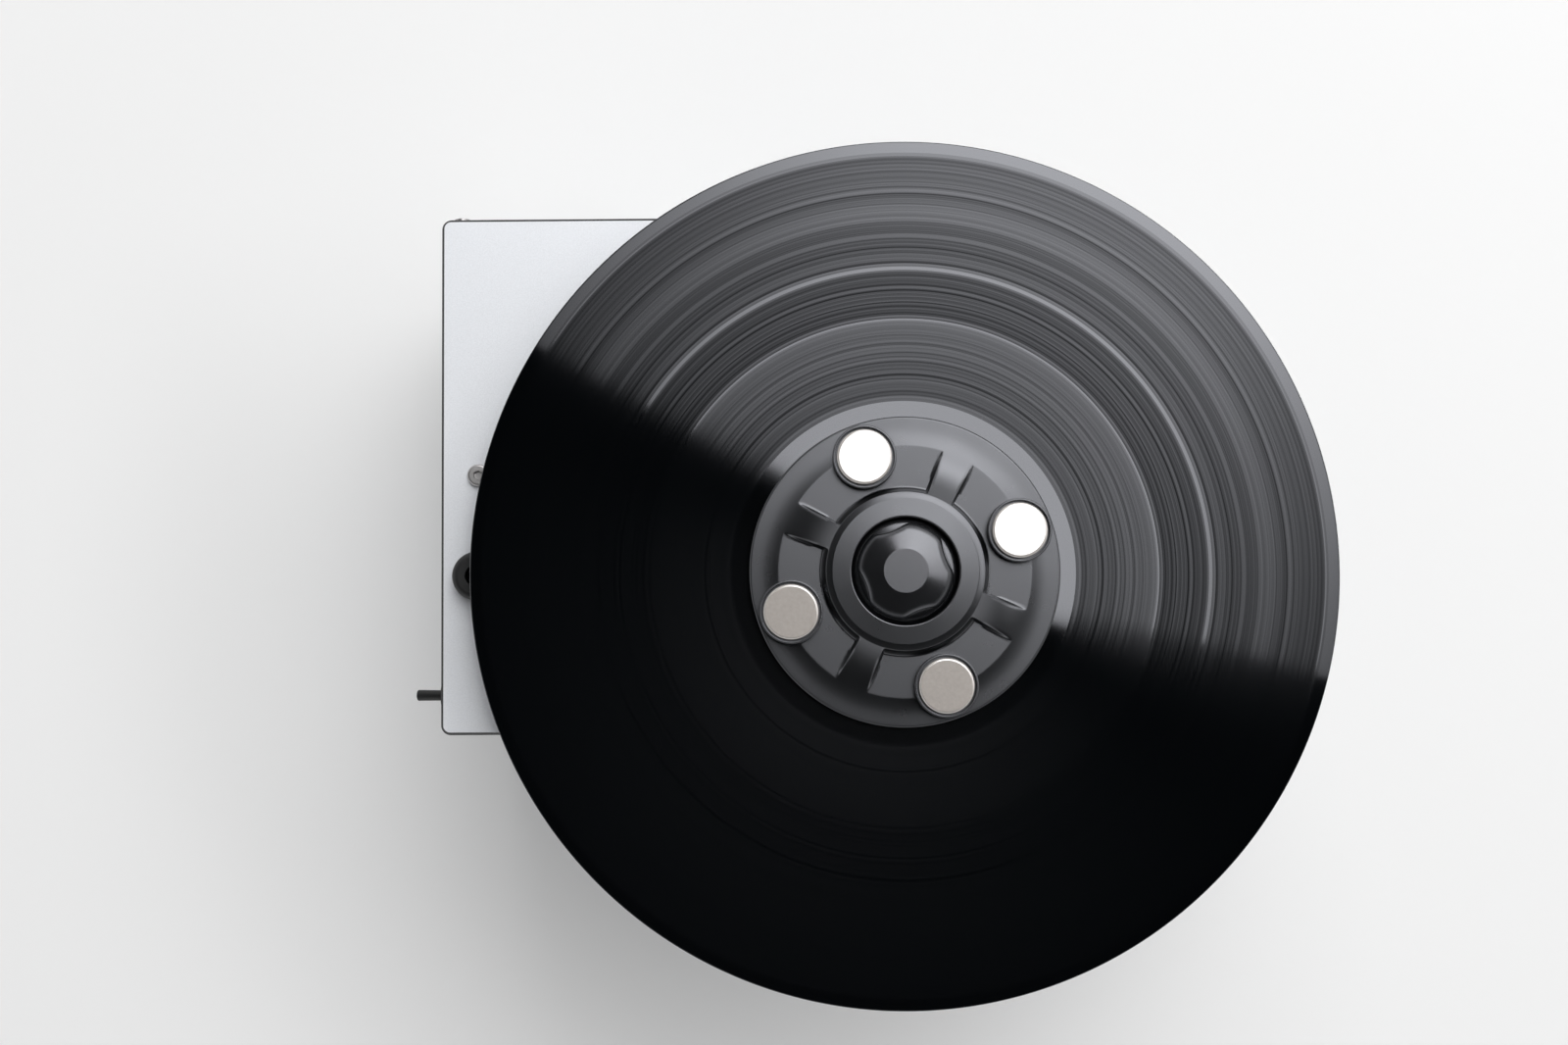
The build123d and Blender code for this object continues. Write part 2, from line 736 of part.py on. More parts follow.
# ---- Fasteners: pan-head screws under the panel, the feet, the bracket and the rear panel ----
panel_thickness = skin_thickness + core_thickness
housing_points = ring_points(housing_screw_circle, housing_screw_angles)
spacer_points = ring_points(spacer_circle, spacer_angles, pinion_x, pinion_y)
foot_points = [
    (case_x + x * foot_grid[0] / 2, case_y + y * foot_grid[1] / 2) for x in (-1, 1) for y in (-1, 1)
]
m4_places = [(case_top, -1, panel_thickness + housing_flange_height, x, y) for x, y in housing_points]
m4_places += [(case_top, -1, panel_thickness + 2 * m4_radius, x, y) for x, y in spacer_points]
m4_places += [(motor_plate_bottom, 1, motor_plate + 2 * m4_radius, x, y) for x, y in spacer_points]
m4_places += [(foot_height / 2, 1, foot_height / 2 + wall, x, y) for x, y in foot_points]
with BuildPart() as m4_screws:
    for height, direction, length, x, y in m4_places:
        with BuildSketch(level(height, x, y)):
            Circle(m4_head_radius)
        extrude(amount=-direction * m4_head_height)
        with BuildSketch(level(height, x, y)):
            Circle(m4_radius)
        extrude(amount=direction * length)
finish(m4_screws.part, "m4_screws")

with BuildPart() as m3_screws:
    for plane, length in (
        (facing_rear(case_x, case_rear, rear_middle), 2 * wall + bracket_thickness),
        (level(motor_plate_top, pinion_x, pinion_y), motor_plate + 4 * m3_radius),
    ):
        for radius, reach in ((m3_head_radius, m3_head_height), (m3_radius, -length)):
            with BuildSketch(plane):
                if plane.z_dir.Z > 0.5:
                    with PolarLocations(gearbox_screw_circle, 4, start_angle=strap_angle + 45):
                        Circle(radius)
                else:
                    with GridLocations(*rear_grid, 2, 2):
                        Circle(radius)
            extrude(amount=reach)
finish(m3_screws.part, "m3_screws")

# ---- Wet vacuum ----
with BuildPart() as vacuum_stand:
    with BuildSketch(level(floor_top, fan_x, fan_y)):
        Circle(stand_radius + stand_flange)
    extrude(amount=wall)
    with BuildSketch(level(floor_top, fan_x, fan_y)):
        Circle(stand_radius)
    extrude(amount=stand_height)
    with BuildSketch(level(floor_top, fan_x, fan_y)):
        Circle(stand_radius - wall)
    extrude(amount=stand_height - wall, mode=Mode.SUBTRACT)
    with BuildSketch(level(stand_top, fan_x, fan_y)):
        Circle(mount_inner_radius)
    extrude(amount=-2 * wall, mode=Mode.SUBTRACT)
finish(vacuum_stand.part, "vacuum_stand")

with BuildPart() as vacuum_mount:
    with BuildSketch(level(stand_top, fan_x, fan_y)):
        Circle(vacuum_motor_radius)
        Circle(mount_inner_radius, mode=Mode.SUBTRACT)
    extrude(amount=mount_height)
finish(vacuum_mount.part, "vacuum_mount")

stator_bottom = vacuum_motor_bottom + vacuum_motor_height / 4
with BuildPart() as vacuum_motor_case:
    with BuildSketch(level(vacuum_motor_bottom, fan_x, fan_y)):
        Circle(vacuum_motor_radius)
    extrude(amount=vacuum_motor_height)
    with BuildSketch(level(vacuum_motor_bottom + 2 * vacuum_motor_wall, fan_x, fan_y)):
        Circle(vacuum_motor_radius - vacuum_motor_wall)
    extrude(amount=vacuum_motor_height - 4 * vacuum_motor_wall, mode=Mode.SUBTRACT)
    with BuildSketch(level(stator_bottom, fan_x, fan_y)):
        Circle(vacuum_motor_radius)
        Circle(rotor_radius + rotor_gap, mode=Mode.SUBTRACT)
    extrude(amount=vacuum_motor_height / 2)
    with BuildSketch(level(vacuum_motor_bottom, fan_x, fan_y)):
        Circle(rotor_shaft_radius + running_clearance)
    extrude(amount=vacuum_motor_height, mode=Mode.SUBTRACT)
    with BuildSketch(level(vacuum_motor_bottom, fan_x, fan_y)):
        with PolarLocations((mount_inner_radius + rotor_shaft_radius) / 2, 6):
            Circle(2 * vacuum_motor_wall)
    extrude(amount=2 * vacuum_motor_wall, mode=Mode.SUBTRACT)
    with BuildSketch(level(vacuum_motor_bottom + vacuum_motor_height, fan_x, fan_y)):
        with PolarLocations((mount_inner_radius + rotor_shaft_radius) / 2, 6):
            Circle(2 * vacuum_motor_wall)
    extrude(amount=-2 * vacuum_motor_wall, mode=Mode.SUBTRACT)
finish(vacuum_motor_case.part, "vacuum_motor_case")

impeller_bottom = fan_shell_bottom + fan_shell_height / 3
with BuildPart() as vacuum_rotor:
    with BuildSketch(level(vacuum_motor_bottom + vacuum_motor_wall, fan_x, fan_y)):
        Circle(rotor_shaft_radius)
    extrude(amount=impeller_bottom + impeller_height - vacuum_motor_bottom - vacuum_motor_wall)
    with BuildSketch(level(stator_bottom, fan_x, fan_y)):
        Circle(rotor_radius)
    extrude(amount=vacuum_motor_height / 2)
finish(vacuum_rotor.part, "vacuum_rotor")

with BuildPart() as fan_shell:
    with BuildSketch(level(fan_shell_bottom, fan_x, fan_y)):
        Circle(fan_shell_radius)
    extrude(amount=fan_shell_height)
    fillet(fan_shell.faces().sort_by(Axis.Z)[-1].edges(), 4 * fan_shell_wall)
    with BuildSketch(level(fan_shell_bottom + fan_shell_wall, fan_x, fan_y)):
        Circle(fan_shell_radius - fan_shell_wall)
    extrude(amount=fan_shell_height - 4 * fan_shell_wall, mode=Mode.SUBTRACT)
    with BuildSketch(level(fan_shell_top, fan_x, fan_y)):
        Circle(fan_neck_radius)
    extrude(amount=fan_neck_height)
    with BuildSketch(level(fan_shell_top + fan_neck_height, fan_x, fan_y)):
        Circle(fan_neck_radius - fan_shell_wall)
    extrude(amount=-(fan_neck_height + 6 * fan_shell_wall), mode=Mode.SUBTRACT)
    with BuildSketch(level(fan_shell_bottom, fan_x, fan_y)):
        Circle(mount_inner_radius)
    extrude(amount=2 * fan_shell_wall, mode=Mode.SUBTRACT)
finish(fan_shell.part, "fan_shell")

with BuildPart() as impeller:
    with BuildSketch(level(impeller_bottom, fan_x, fan_y)):
        Circle(impeller_radius)
        Circle(rotor_shaft_radius, mode=Mode.SUBTRACT)
    extrude(amount=impeller_plate)
    with BuildSketch(level(impeller_bottom, fan_x, fan_y)):
        Circle(2 * rotor_shaft_radius)
        Circle(rotor_shaft_radius, mode=Mode.SUBTRACT)
    extrude(amount=impeller_height)
    with BuildSketch(level(impeller_bottom, fan_x, fan_y)):
        with PolarLocations((impeller_radius + 2 * rotor_shaft_radius) / 2, blade_count):
            Rectangle(impeller_radius - 3 * rotor_shaft_radius, blade_thickness, rotation=blade_lean)
    extrude(amount=impeller_height - impeller_plate)
    with BuildSketch(level(impeller_bottom + impeller_height, fan_x, fan_y)):
        Circle(impeller_radius)
        Circle(fan_neck_radius, mode=Mode.SUBTRACT)
    extrude(amount=-impeller_plate)
finish(impeller.part, "impeller")

# ---- Suction-arm socket, waste tank and hoses ----
socket_tail_bottom = case_top + socket_height - socket_bore_depth - socket_tail_length
socket_nut_top = core_bottom
stem_bottom = socket_nut_top - socket_nut_height - stem_below_nut
with BuildPart() as arm_socket:
    with BuildSketch(level(case_top, arm_x, arm_y)):
        Circle(socket_radius)
    extrude(amount=socket_height)
    fillet(arm_socket.faces().sort_by(Axis.Z)[-1].edges(), socket_edge)
    with BuildSketch(level(case_top, arm_x, arm_y)):
        Circle(socket_stem_radius)
    extrude(amount=stem_bottom - case_top)
    with BuildSketch(level(stem_bottom, arm_x, arm_y)):
        Circle(socket_tail_radius)
    extrude(amount=socket_tail_bottom - stem_bottom)
    with BuildSketch(level(case_top + socket_height, arm_x, arm_y)):
        Circle(socket_bore)
    extrude(amount=-socket_bore_depth, mode=Mode.SUBTRACT)
    with BuildSketch(level(socket_tail_bottom, arm_x, arm_y)):
        Circle(channel_radius)
    extrude(amount=socket_tail_length, mode=Mode.SUBTRACT)
finish(arm_socket.part, "arm_socket")

with BuildPart() as fitting_nuts:
    with BuildSketch(level(socket_nut_top, arm_x, arm_y)):
        RegularPolygon(socket_nut_radius, 6)
        Circle(socket_stem_radius, mode=Mode.SUBTRACT)
    extrude(amount=-socket_nut_height)
    with BuildSketch(facing_rear(drain_at_x, rear_inner, drain_z)):
        RegularPolygon(drain_nut_radius, 6)
        Circle(drain_spigot_radius, mode=Mode.SUBTRACT)
    extrude(amount=-drain_nut_height)
finish(fitting_nuts.part, "fitting_nuts")

with BuildPart() as waste_tank:
    with BuildSketch(level(floor_top, tank_x, tank_y)):
        RectangleRounded(tank_length, tank_depth, tank_corner)
    extrude(amount=tank_top - floor_top)
    with BuildSketch(level(floor_top + tank_wall, tank_x, tank_y)):
        RectangleRounded(tank_length - 2 * tank_wall, tank_depth - 2 * tank_wall, tank_corner - tank_wall)
    extrude(amount=tank_top, mode=Mode.SUBTRACT)
    with BuildSketch(facing_rear(drain_at_x, tank_rear - tank_wall, drain_z)):
        Circle(drain_tube_radius)
    extrude(amount=tank_wall + drain_grip)
    with BuildSketch(facing_rear(drain_at_x, tank_rear - tank_wall, drain_z)):
        Circle(drain_tube_radius - drain_tube_wall)
    extrude(amount=tank_wall + drain_grip, mode=Mode.SUBTRACT)
finish(waste_tank.part, "waste_tank")

with BuildPart() as tank_seal:
    with BuildSketch(level(tank_top, tank_x, tank_y)):
        RectangleRounded(tank_length, tank_depth, tank_corner)
        RectangleRounded(tank_length - 2 * tank_wall, tank_depth - 2 * tank_wall, tank_corner - tank_wall,
                         mode=Mode.SUBTRACT)
    extrude(amount=seal_thickness)
finish(tank_seal.part, "tank_seal")

with BuildPart() as tank_lid:
    with BuildSketch(level(lid_bottom, tank_x, tank_y)):
        RectangleRounded(tank_length, tank_depth, tank_corner)
    extrude(amount=lid_thickness)
    for x in lid_post_x:
        with BuildSketch(level(lid_top, x, lid_post_y)):
            Circle(lid_post_radius)
        extrude(amount=core_bottom - lid_top)
        with BuildSketch(level(core_bottom, x, lid_post_y)):
            Circle(tank_screw_radius)
        extrude(amount=-4 * tank_screw_radius, mode=Mode.SUBTRACT)
    for x, y, outer, inner in (
        (arm_x, arm_y, socket_tail_radius, channel_radius),
        (hose_x, hose_y, fan_neck_radius, fan_neck_radius - fan_shell_wall),
    ):
        with BuildSketch(level(lid_top, x, y)):
            Circle(outer)
        extrude(amount=neck_height)
        with BuildSketch(level(lid_bottom, x, y)):
            Circle(inner)
        extrude(amount=lid_thickness + neck_height, mode=Mode.SUBTRACT)
finish(tank_lid.part, "tank_lid")

with BuildPart() as tank_screws:
    for x in lid_post_x:
        with BuildSketch(level(case_top, x, lid_post_y)):
            Circle(tank_screw_head_radius)
        extrude(amount=tank_screw_head_height)
        with BuildSketch(level(case_top, x, lid_post_y)):
            Circle(tank_screw_radius)
        extrude(amount=-(skin_thickness + core_thickness + 4 * tank_screw_radius))
        with BuildSketch(level(case_top + tank_screw_head_height, x, lid_post_y)):
            RegularPolygon(hex_socket_radius, 6)
        extrude(amount=-hex_socket_depth, mode=Mode.SUBTRACT)
    fillet(tank_screws.faces().group_by(Axis.Z)[-1].edges().filter_by(GeomType.CIRCLE), screw_head_round)
finish(tank_screws.part, "tank_screws")

tube_bottom = lid_top + axial_clearance
with BuildPart() as suction_tube:
    with BuildSketch(level(tube_bottom, arm_x, arm_y)):
        Circle(socket_tail_radius + suction_tube_wall)
        Circle(socket_tail_radius, mode=Mode.SUBTRACT)
    extrude(amount=stem_bottom - axial_clearance - tube_bottom)
finish(suction_tube.part, "suction_tube")

hose_outer = fan_neck_radius + hose_wall
hose_top = core_bottom - hose_outer - hose_headroom
hose_start = (hose_x, hose_y, lid_top + neck_height - hose_grip)
hose_end = (fan_x, fan_y, fan_shell_top + fan_neck_height - hose_grip)
with BuildPart() as suction_hose:
    with BuildLine() as hose_path:
        FilletPolyline(
            hose_start, (hose_x, hose_y, hose_top), (fan_x, fan_y, hose_top), hose_end, radius=hose_bend
        )
    with BuildSketch(level(hose_start[2], hose_x, hose_y)):
        Circle(hose_outer)
        Circle(fan_neck_radius, mode=Mode.SUBTRACT)
    sweep(path=hose_path.line)
finish(suction_hose.part, "suction_hose")

# ---- Drain ----
drain_tail = rear_inner - drain_nut_height - drain_grip
with BuildPart() as drain_hose:
    with BuildSketch(facing_rear(drain_at_x, tank_rear + axial_clearance, drain_z)):
        Circle(drain_tube_radius + drain_tube_wall)
        Circle(drain_tube_radius, mode=Mode.SUBTRACT)
    extrude(amount=rear_inner - drain_nut_height - axial_clearance - tank_rear - axial_clearance)
finish(drain_hose.part, "drain_hose")

with BuildPart() as drain_fitting:
    with BuildSketch(facing_rear(drain_at_x, drain_tail, drain_z)):
        Circle(drain_tube_radius)
    extrude(amount=drain_grip)
    with BuildSketch(facing_rear(drain_at_x, rear_inner - drain_nut_height, drain_z)):
        Circle(drain_spigot_radius)
    extrude(amount=case_rear + drain_flange + drain_spigot_length - rear_inner + drain_nut_height)
    with BuildSketch(facing_rear(drain_at_x, rear_face, drain_z)):
        Circle(drain_flange_radius)
    extrude(amount=wall + drain_flange)
    with BuildSketch(facing_rear(drain_at_x, case_rear + drain_flange + drain_spigot_length, drain_z)):
        Circle(drain_bore_radius)
    extrude(amount=-(drain_flange + drain_spigot_length), mode=Mode.SUBTRACT)
    with BuildSketch(facing_rear(drain_at_x, drain_tail, drain_z)):
        Circle(drain_tube_radius - drain_tube_wall)
    extrude(amount=drain_grip + drain_nut_height + 2 * wall, mode=Mode.SUBTRACT)
finish(drain_fitting.part, "drain_fitting")

spigot_end = case_rear + drain_flange + drain_spigot_length
with BuildPart() as drain_plug:
    with BuildSketch(facing_rear(drain_at_x, spigot_end + axial_clearance, drain_z)):
        Circle(drain_plug_head)
    extrude(amount=drain_plug_head_height)
    fillet(drain_plug.faces().sort_by(Axis.Y)[-1].edges(), drain_plug_head_height / 3)
    with BuildSketch(facing_rear(drain_at_x, spigot_end + axial_clearance, drain_z)):
        Circle(drain_bore_radius - running_clearance)
    extrude(amount=-drain_plug_depth)
finish(drain_plug.part, "drain_plug")

# ---- Mains inlet and rocker ----
with BuildPart() as power_inlet:
    with BuildSketch(facing_rear(inlet_at_x, rear_face, inlet_z)):
        RectangleRounded(inlet_width + 2 * inlet_overlap, inlet_height + 2 * inlet_overlap, wall)
    extrude(amount=inlet_flange)
    with BuildSketch(facing_rear(inlet_at_x, rear_face, inlet_z)):
        Rectangle(inlet_width, inlet_height)
    extrude(amount=-inlet_depth)
    with BuildSketch(facing_rear(inlet_at_x, rear_face + inlet_flange, inlet_z)):
        RectangleRounded(inlet_cavity_width, inlet_cavity_height, wall)
    extrude(amount=-inlet_cavity_depth, mode=Mode.SUBTRACT)
finish(power_inlet.part, "power_inlet")

cavity_floor = rear_face + inlet_flange - inlet_cavity_depth
with BuildPart() as inlet_blades:
    with BuildSketch(facing_rear(inlet_at_x, cavity_floor, inlet_z)):
        with GridLocations(2 * blade_spacing, 0, 2, 1):
            with Locations((0, -blade_height / 2)):
                Rectangle(blade_width, blade_height)
        with Locations((0, blade_height / 2)):
            Rectangle(blade_width, blade_height)
    extrude(amount=blade_length)
finish(inlet_blades.part, "inlet_blades")

rocker_pivot_y = rear_face - rocker_half_height / 4
with BuildPart() as rocker_housing:
    with BuildSketch(facing_rear(rocker_at_x, rear_face, rocker_z)):
        RectangleRounded(
            rocker_cavity_width + 4 * rocker_wall, rocker_cavity_height + 4 * rocker_wall, rocker_wall
        )
    extrude(amount=rocker_wall)
    with BuildSketch(facing_rear(rocker_at_x, rear_face, rocker_z)):
        Rectangle(rocker_cavity_width + 2 * rocker_wall, rocker_cavity_height + 2 * rocker_wall)
    extrude(amount=-rocker_body_depth)
    with BuildSketch(facing_rear(rocker_at_x, rear_face + rocker_wall, rocker_z)):
        Rectangle(rocker_cavity_width, rocker_cavity_height)
    extrude(amount=-(rocker_cavity_depth + rocker_wall), mode=Mode.SUBTRACT)
finish(rocker_housing.part, "rocker_housing")

with BuildPart() as mains_rocker:
    with BuildSketch(
        Plane(
            origin=(rocker_at_x - rocker_width / 2, rocker_pivot_y, rocker_z),
            x_dir=(0, cos(radians(rocker_throw / 2)), sin(radians(rocker_throw / 2))),
            z_dir=(1, 0, 0),
        )
    ):
        with BuildLine():
            Polyline(
                (rocker_half_height / 2.2, -rocker_half_height),
                (rocker_half_height / 4, 0),
                (rocker_half_height / 2.2, rocker_half_height),
                (-rocker_half_height / 12, rocker_half_height),
                (-rocker_half_height / 2, 0),
                (-rocker_half_height / 12, -rocker_half_height),
                close=True,
            )
        make_face()
    extrude(amount=rocker_width)
finish(mains_rocker.part, "mains_rocker")

# ---- Toggle switches ----
for name, side, inner, outer, pivot in (
    ("vacuum", -1, case_left + wall, case_left, pivot_left),
    ("direction", 1, case_right - wall, case_right, pivot_right),
):
    with BuildPart() as switch:
        with BuildSketch(facing_side(inner, switch_y, switch_z, side)):
            Rectangle(switch_body, switch_body)
        extrude(amount=-switch_body_depth)
        with BuildSketch(facing_side(inner, switch_y, switch_z, side)):
            Circle(bushing_radius)
        extrude(amount=wall + bushing_length)
        with BuildSketch(facing_side(inner - side * wall, switch_y, switch_z, side)):
            Circle(bushing_throat_radius + running_clearance)
        extrude(amount=2 * wall + lever_pivot_out + bushing_length, mode=Mode.SUBTRACT)
        with Locations(facing_side(outer + side * bushing_length, switch_y, switch_z, side)):
            Cone(
                bottom_radius=bushing_throat_radius,
                top_radius=bushing_mouth_radius,
                height=bushing_length - lever_pivot_out,
                align=(Align.CENTER, Align.CENTER, Align.MAX),
                mode=Mode.SUBTRACT,
            )
    finish(switch.part, f"{name}_switch")

with BuildPart() as switch_nuts:
    for side, outer in ((-1, case_left), (1, case_right)):
        with BuildSketch(facing_side(outer, switch_y, switch_z, side)):
            RegularPolygon(switch_nut_flat, 6, major_radius=False)
            Circle(bushing_radius, mode=Mode.SUBTRACT)
        extrude(amount=switch_nut_height)
finish(switch_nuts.part, "switch_nuts")

for name, side, pivot, rest in (
    ("vacuum", -1, pivot_left, -lever_throw),
    ("direction", 1, pivot_right, 0.0),
):
    tilt = radians(rest)
    direction = (side * cos(tilt), 0, sin(tilt))
    lever_plane = Plane(origin=(pivot, switch_y, switch_z), x_dir=(0, 1, 0), z_dir=direction)
    with BuildPart(lever_plane) as lever:
        Sphere(lever_ball_radius)
        Cone(
            bottom_radius=lever_base_radius,
            top_radius=lever_tip_radius,
            height=lever_reach,
            align=(Align.CENTER, Align.CENTER, Align.MIN),
        )
        with Locations((0, 0, lever_reach)):
            Sphere(lever_tip_radius)
    finish(lever.part, f"{name}_lever")

# ---- Control board ----
with BuildPart() as board_standoffs:
    with BuildSketch(level(floor_top, board_at_x, board_at_y)):
        with GridLocations(board_width - 2 * board_hole_inset, board_depth - 2 * board_hole_inset, 2, 2):
            Circle(2 * m3_radius)
    extrude(amount=board_standoff)
finish(board_standoffs.part, "board_standoffs")

with BuildPart() as control_board:
    with BuildSketch(level(floor_top + board_standoff, board_at_x, board_at_y)):
        Rectangle(board_width, board_depth)
    extrude(amount=board_thickness)
finish(control_board.part, "control_board")

board_top = floor_top + board_standoff + board_thickness
with BuildPart() as board_parts:
    with BuildSketch(level(board_top, board_at_x, board_at_y)):
        with Locations((-board_width / 8, -board_depth / 4)):
            Rectangle(board_width / 2, board_depth / 3)
    extrude(amount=board_width / 2)
    with BuildSketch(level(board_top, board_at_x, board_at_y)):
        with Locations((board_width / 8, board_depth / 8)):
            Rectangle(board_width / 3, board_depth / 6)
    extrude(amount=board_width / 4)
    with BuildSketch(level(board_top, board_at_x, board_at_y)):
        with Locations((-board_width / 4, board_depth / 5)):
            Circle(board_width / 8)
    extrude(amount=board_width / 3)
finish(board_parts.part, "board_parts")

# ---- Record ----
with BuildPart() as record:
    with BuildSketch(level(record_bottom)):
        Circle(record_radius)
        Circle(record_hole_radius, mode=Mode.SUBTRACT)
    extrude(amount=record_thickness)
    fillet(record.edges().filter_by(GeomType.CIRCLE).group_by(SortBy.RADIUS)[-1], 0.45 * record_thickness)
    for face, inward in ((record_bottom, 1), (record_top, -1)):
        with BuildSketch(level(face)):
            Circle(groove_outer_radius)
            Circle(groove_inner_radius, mode=Mode.SUBTRACT)
        extrude(amount=inward * groove_depth, mode=Mode.SUBTRACT)
        with BuildSketch(level(face)):
            Circle(label_radius)
        extrude(amount=inward * label_thickness, mode=Mode.SUBTRACT)
finish(record.part, "record")

with BuildPart() as record_labels:
    for face, inward in ((record_bottom, 1), (record_top, -1)):
        with BuildSketch(level(face)):
            Circle(label_radius)
            Circle(record_hole_radius, mode=Mode.SUBTRACT)
        extrude(amount=inward * label_thickness)
finish(record_labels.part, "record_labels")

# ---- Clamp ----
rim_inner = clamp_radius - clamp_wall
pad_height = rim_height + (cone_inner_height - rim_height) * (clamp_radius - pad_outer_radius) / (
    clamp_radius - cone_inner_radius
)
cavity_top = pad_height - clamp_wall
floor_top_height = knob_flange_top - knob_flange_thickness - axial_clearance
floor_bottom_height = floor_top_height - clamp_floor
with BuildPart() as clamp_body:
    with BuildSketch(upright()):
        with BuildLine():
            Polyline(
                (knob_hub_radius + knob_hub_clearance, record_top + floor_bottom_height),
                (cone_inner_radius - 2 * clamp_wall, record_top + floor_bottom_height),
                (cone_inner_radius, record_top + cavity_top),
                (pad_outer_radius, record_top + cavity_top),
                (rim_inner, record_top + rim_height - clamp_wall),
                (rim_inner, record_top + seal_height),
                (clamp_radius, record_top + seal_height),
                (clamp_radius, record_top + rim_height),
                (cone_inner_radius, record_top + cone_inner_height),
                (ring_top_radius, record_top + ring_top_height),
                (ring_hole_radius, record_top + ring_top_height),
                (ring_hole_radius, record_top + floor_top_height),
                (knob_hub_radius + knob_hub_clearance, record_top + floor_top_height),
                close=True,
            )
        make_face()
    revolve(axis=axis_at())
    widest_edges = clamp_body.edges().filter_by(GeomType.CIRCLE).group_by(SortBy.RADIUS)[-1]
    fillet(widest_edges.sort_by(Axis.Z)[-1], rim_round)
    with BuildSketch(level(record_top + pad_height)):
        Circle(pad_outer_radius)
        Circle(cone_inner_radius, mode=Mode.SUBTRACT)
        with PolarLocations(0, 4, start_angle=spoke_angle):
            Polygon(
                (0, -spoke_inner_width / 2),
                (cone_inner_radius, -spoke_inner_width / 2),
                (pad_outer_radius, -spoke_outer_width / 2),
                (pad_outer_radius + clamp_wall, -spoke_outer_width / 2),
                (pad_outer_radius + clamp_wall, spoke_outer_width / 2),
                (pad_outer_radius, spoke_outer_width / 2),
                (cone_inner_radius, spoke_inner_width / 2),
                (0, spoke_inner_width / 2),
                align=None,
                mode=Mode.SUBTRACT,
            )
    extrude(amount=ring_top_height, mode=Mode.SUBTRACT)
    with BuildSketch(level(record_top + cavity_top)):
        with PolarLocations(disc_circle, 4, start_angle=disc_angle):
            Circle(disc_boss_radius)
    extrude(amount=disc_boss_top - cavity_top)
    with BuildSketch(level(record_top + disc_boss_top)):
        with PolarLocations(disc_circle, 4, start_angle=disc_angle):
            Circle(disc_radius + disc_groove)
    extrude(amount=disc_seat - disc_boss_top, mode=Mode.SUBTRACT)
finish(clamp_body.part, "clamp_body")

with BuildPart() as clamp_discs:
    with BuildSketch(level(record_top + disc_seat)):
        with PolarLocations(disc_circle, 4, start_angle=disc_angle):
            Circle(disc_radius)
    extrude(amount=disc_top - disc_seat)
    chamfer(clamp_discs.faces().group_by(Axis.Z)[-1].edges(), disc_radius - disc_face_radius)
finish(clamp_discs.part, "clamp_discs")

with BuildPart() as clamp_seal:
    with BuildSketch(level(record_top)):
        Circle(clamp_radius)
        Circle(clamp_radius - seal_width, mode=Mode.SUBTRACT)
    extrude(amount=seal_height)
finish(clamp_seal.part, "clamp_seal")

flange_bottom_height = floor_top_height + axial_clearance
insert_bottom = pin_above_record + insert_gap
with BuildPart() as clamp_knob:
    with BuildSketch(upright()):
        with BuildLine():
            Polyline(
                (0, record_top + flange_bottom_height),
                (knob_radius, record_top + flange_bottom_height),
                (knob_radius, record_top + knob_flange_top),
                (knob_shoulder_radius, record_top + knob_flange_top),
                (knob_shoulder_radius, record_top + knob_shoulder_height),
                (knob_face_radius, record_top + knob_top),
                (0, record_top + knob_top),
                close=True,
            )
        make_face()
    revolve(axis=axis_at())
    with BuildSketch(level(record_top + knob_flange_top)):
        with PolarLocations(scallop_mid_radius + scallop_radius, 4, start_angle=disc_angle):
            Circle(scallop_radius)
    extrude(amount=knob_top, mode=Mode.SUBTRACT)
    with BuildSketch(level(record_top + knob_hub_bottom)):
        Circle(knob_hub_radius)
    extrude(amount=flange_bottom_height - knob_hub_bottom)
    with BuildSketch(level(record_top + knob_hub_bottom)):
        Circle(insert_radius)
    extrude(amount=insert_bottom + insert_height - knob_hub_bottom, mode=Mode.SUBTRACT)
finish(clamp_knob.part, "clamp_knob")

with BuildPart() as knob_insert:
    with BuildSketch(level(record_top + insert_bottom)):
        Circle(insert_radius)
        Circle(thread_radius + running_clearance, mode=Mode.SUBTRACT)
    extrude(amount=insert_height)
finish(knob_insert.part, "knob_insert")

with BuildPart() as knob_retainer:
    with BuildSketch(level(record_top + floor_bottom_height - axial_clearance)):
        Circle(retainer_radius)
        Circle(knob_hub_radius, mode=Mode.SUBTRACT)
    extrude(amount=-retainer_height)
finish(knob_retainer.part, "knob_retainer")
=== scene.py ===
"""Dressed model of a compact vacuum record cleaning machine.

A satin metal case carries a label-sized platter. A twelve-inch record lies on it under a
screw-down clamp with four metal weights. Lengths in the classes are millimetres unless a name
says otherwise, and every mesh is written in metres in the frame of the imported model.
"""

import json
import logging
import math
from collections.abc import Iterable, Sequence
from dataclasses import dataclass
from enum import Enum
from typing import Any

import bmesh
import bpy
from mathutils import Matrix, Vector

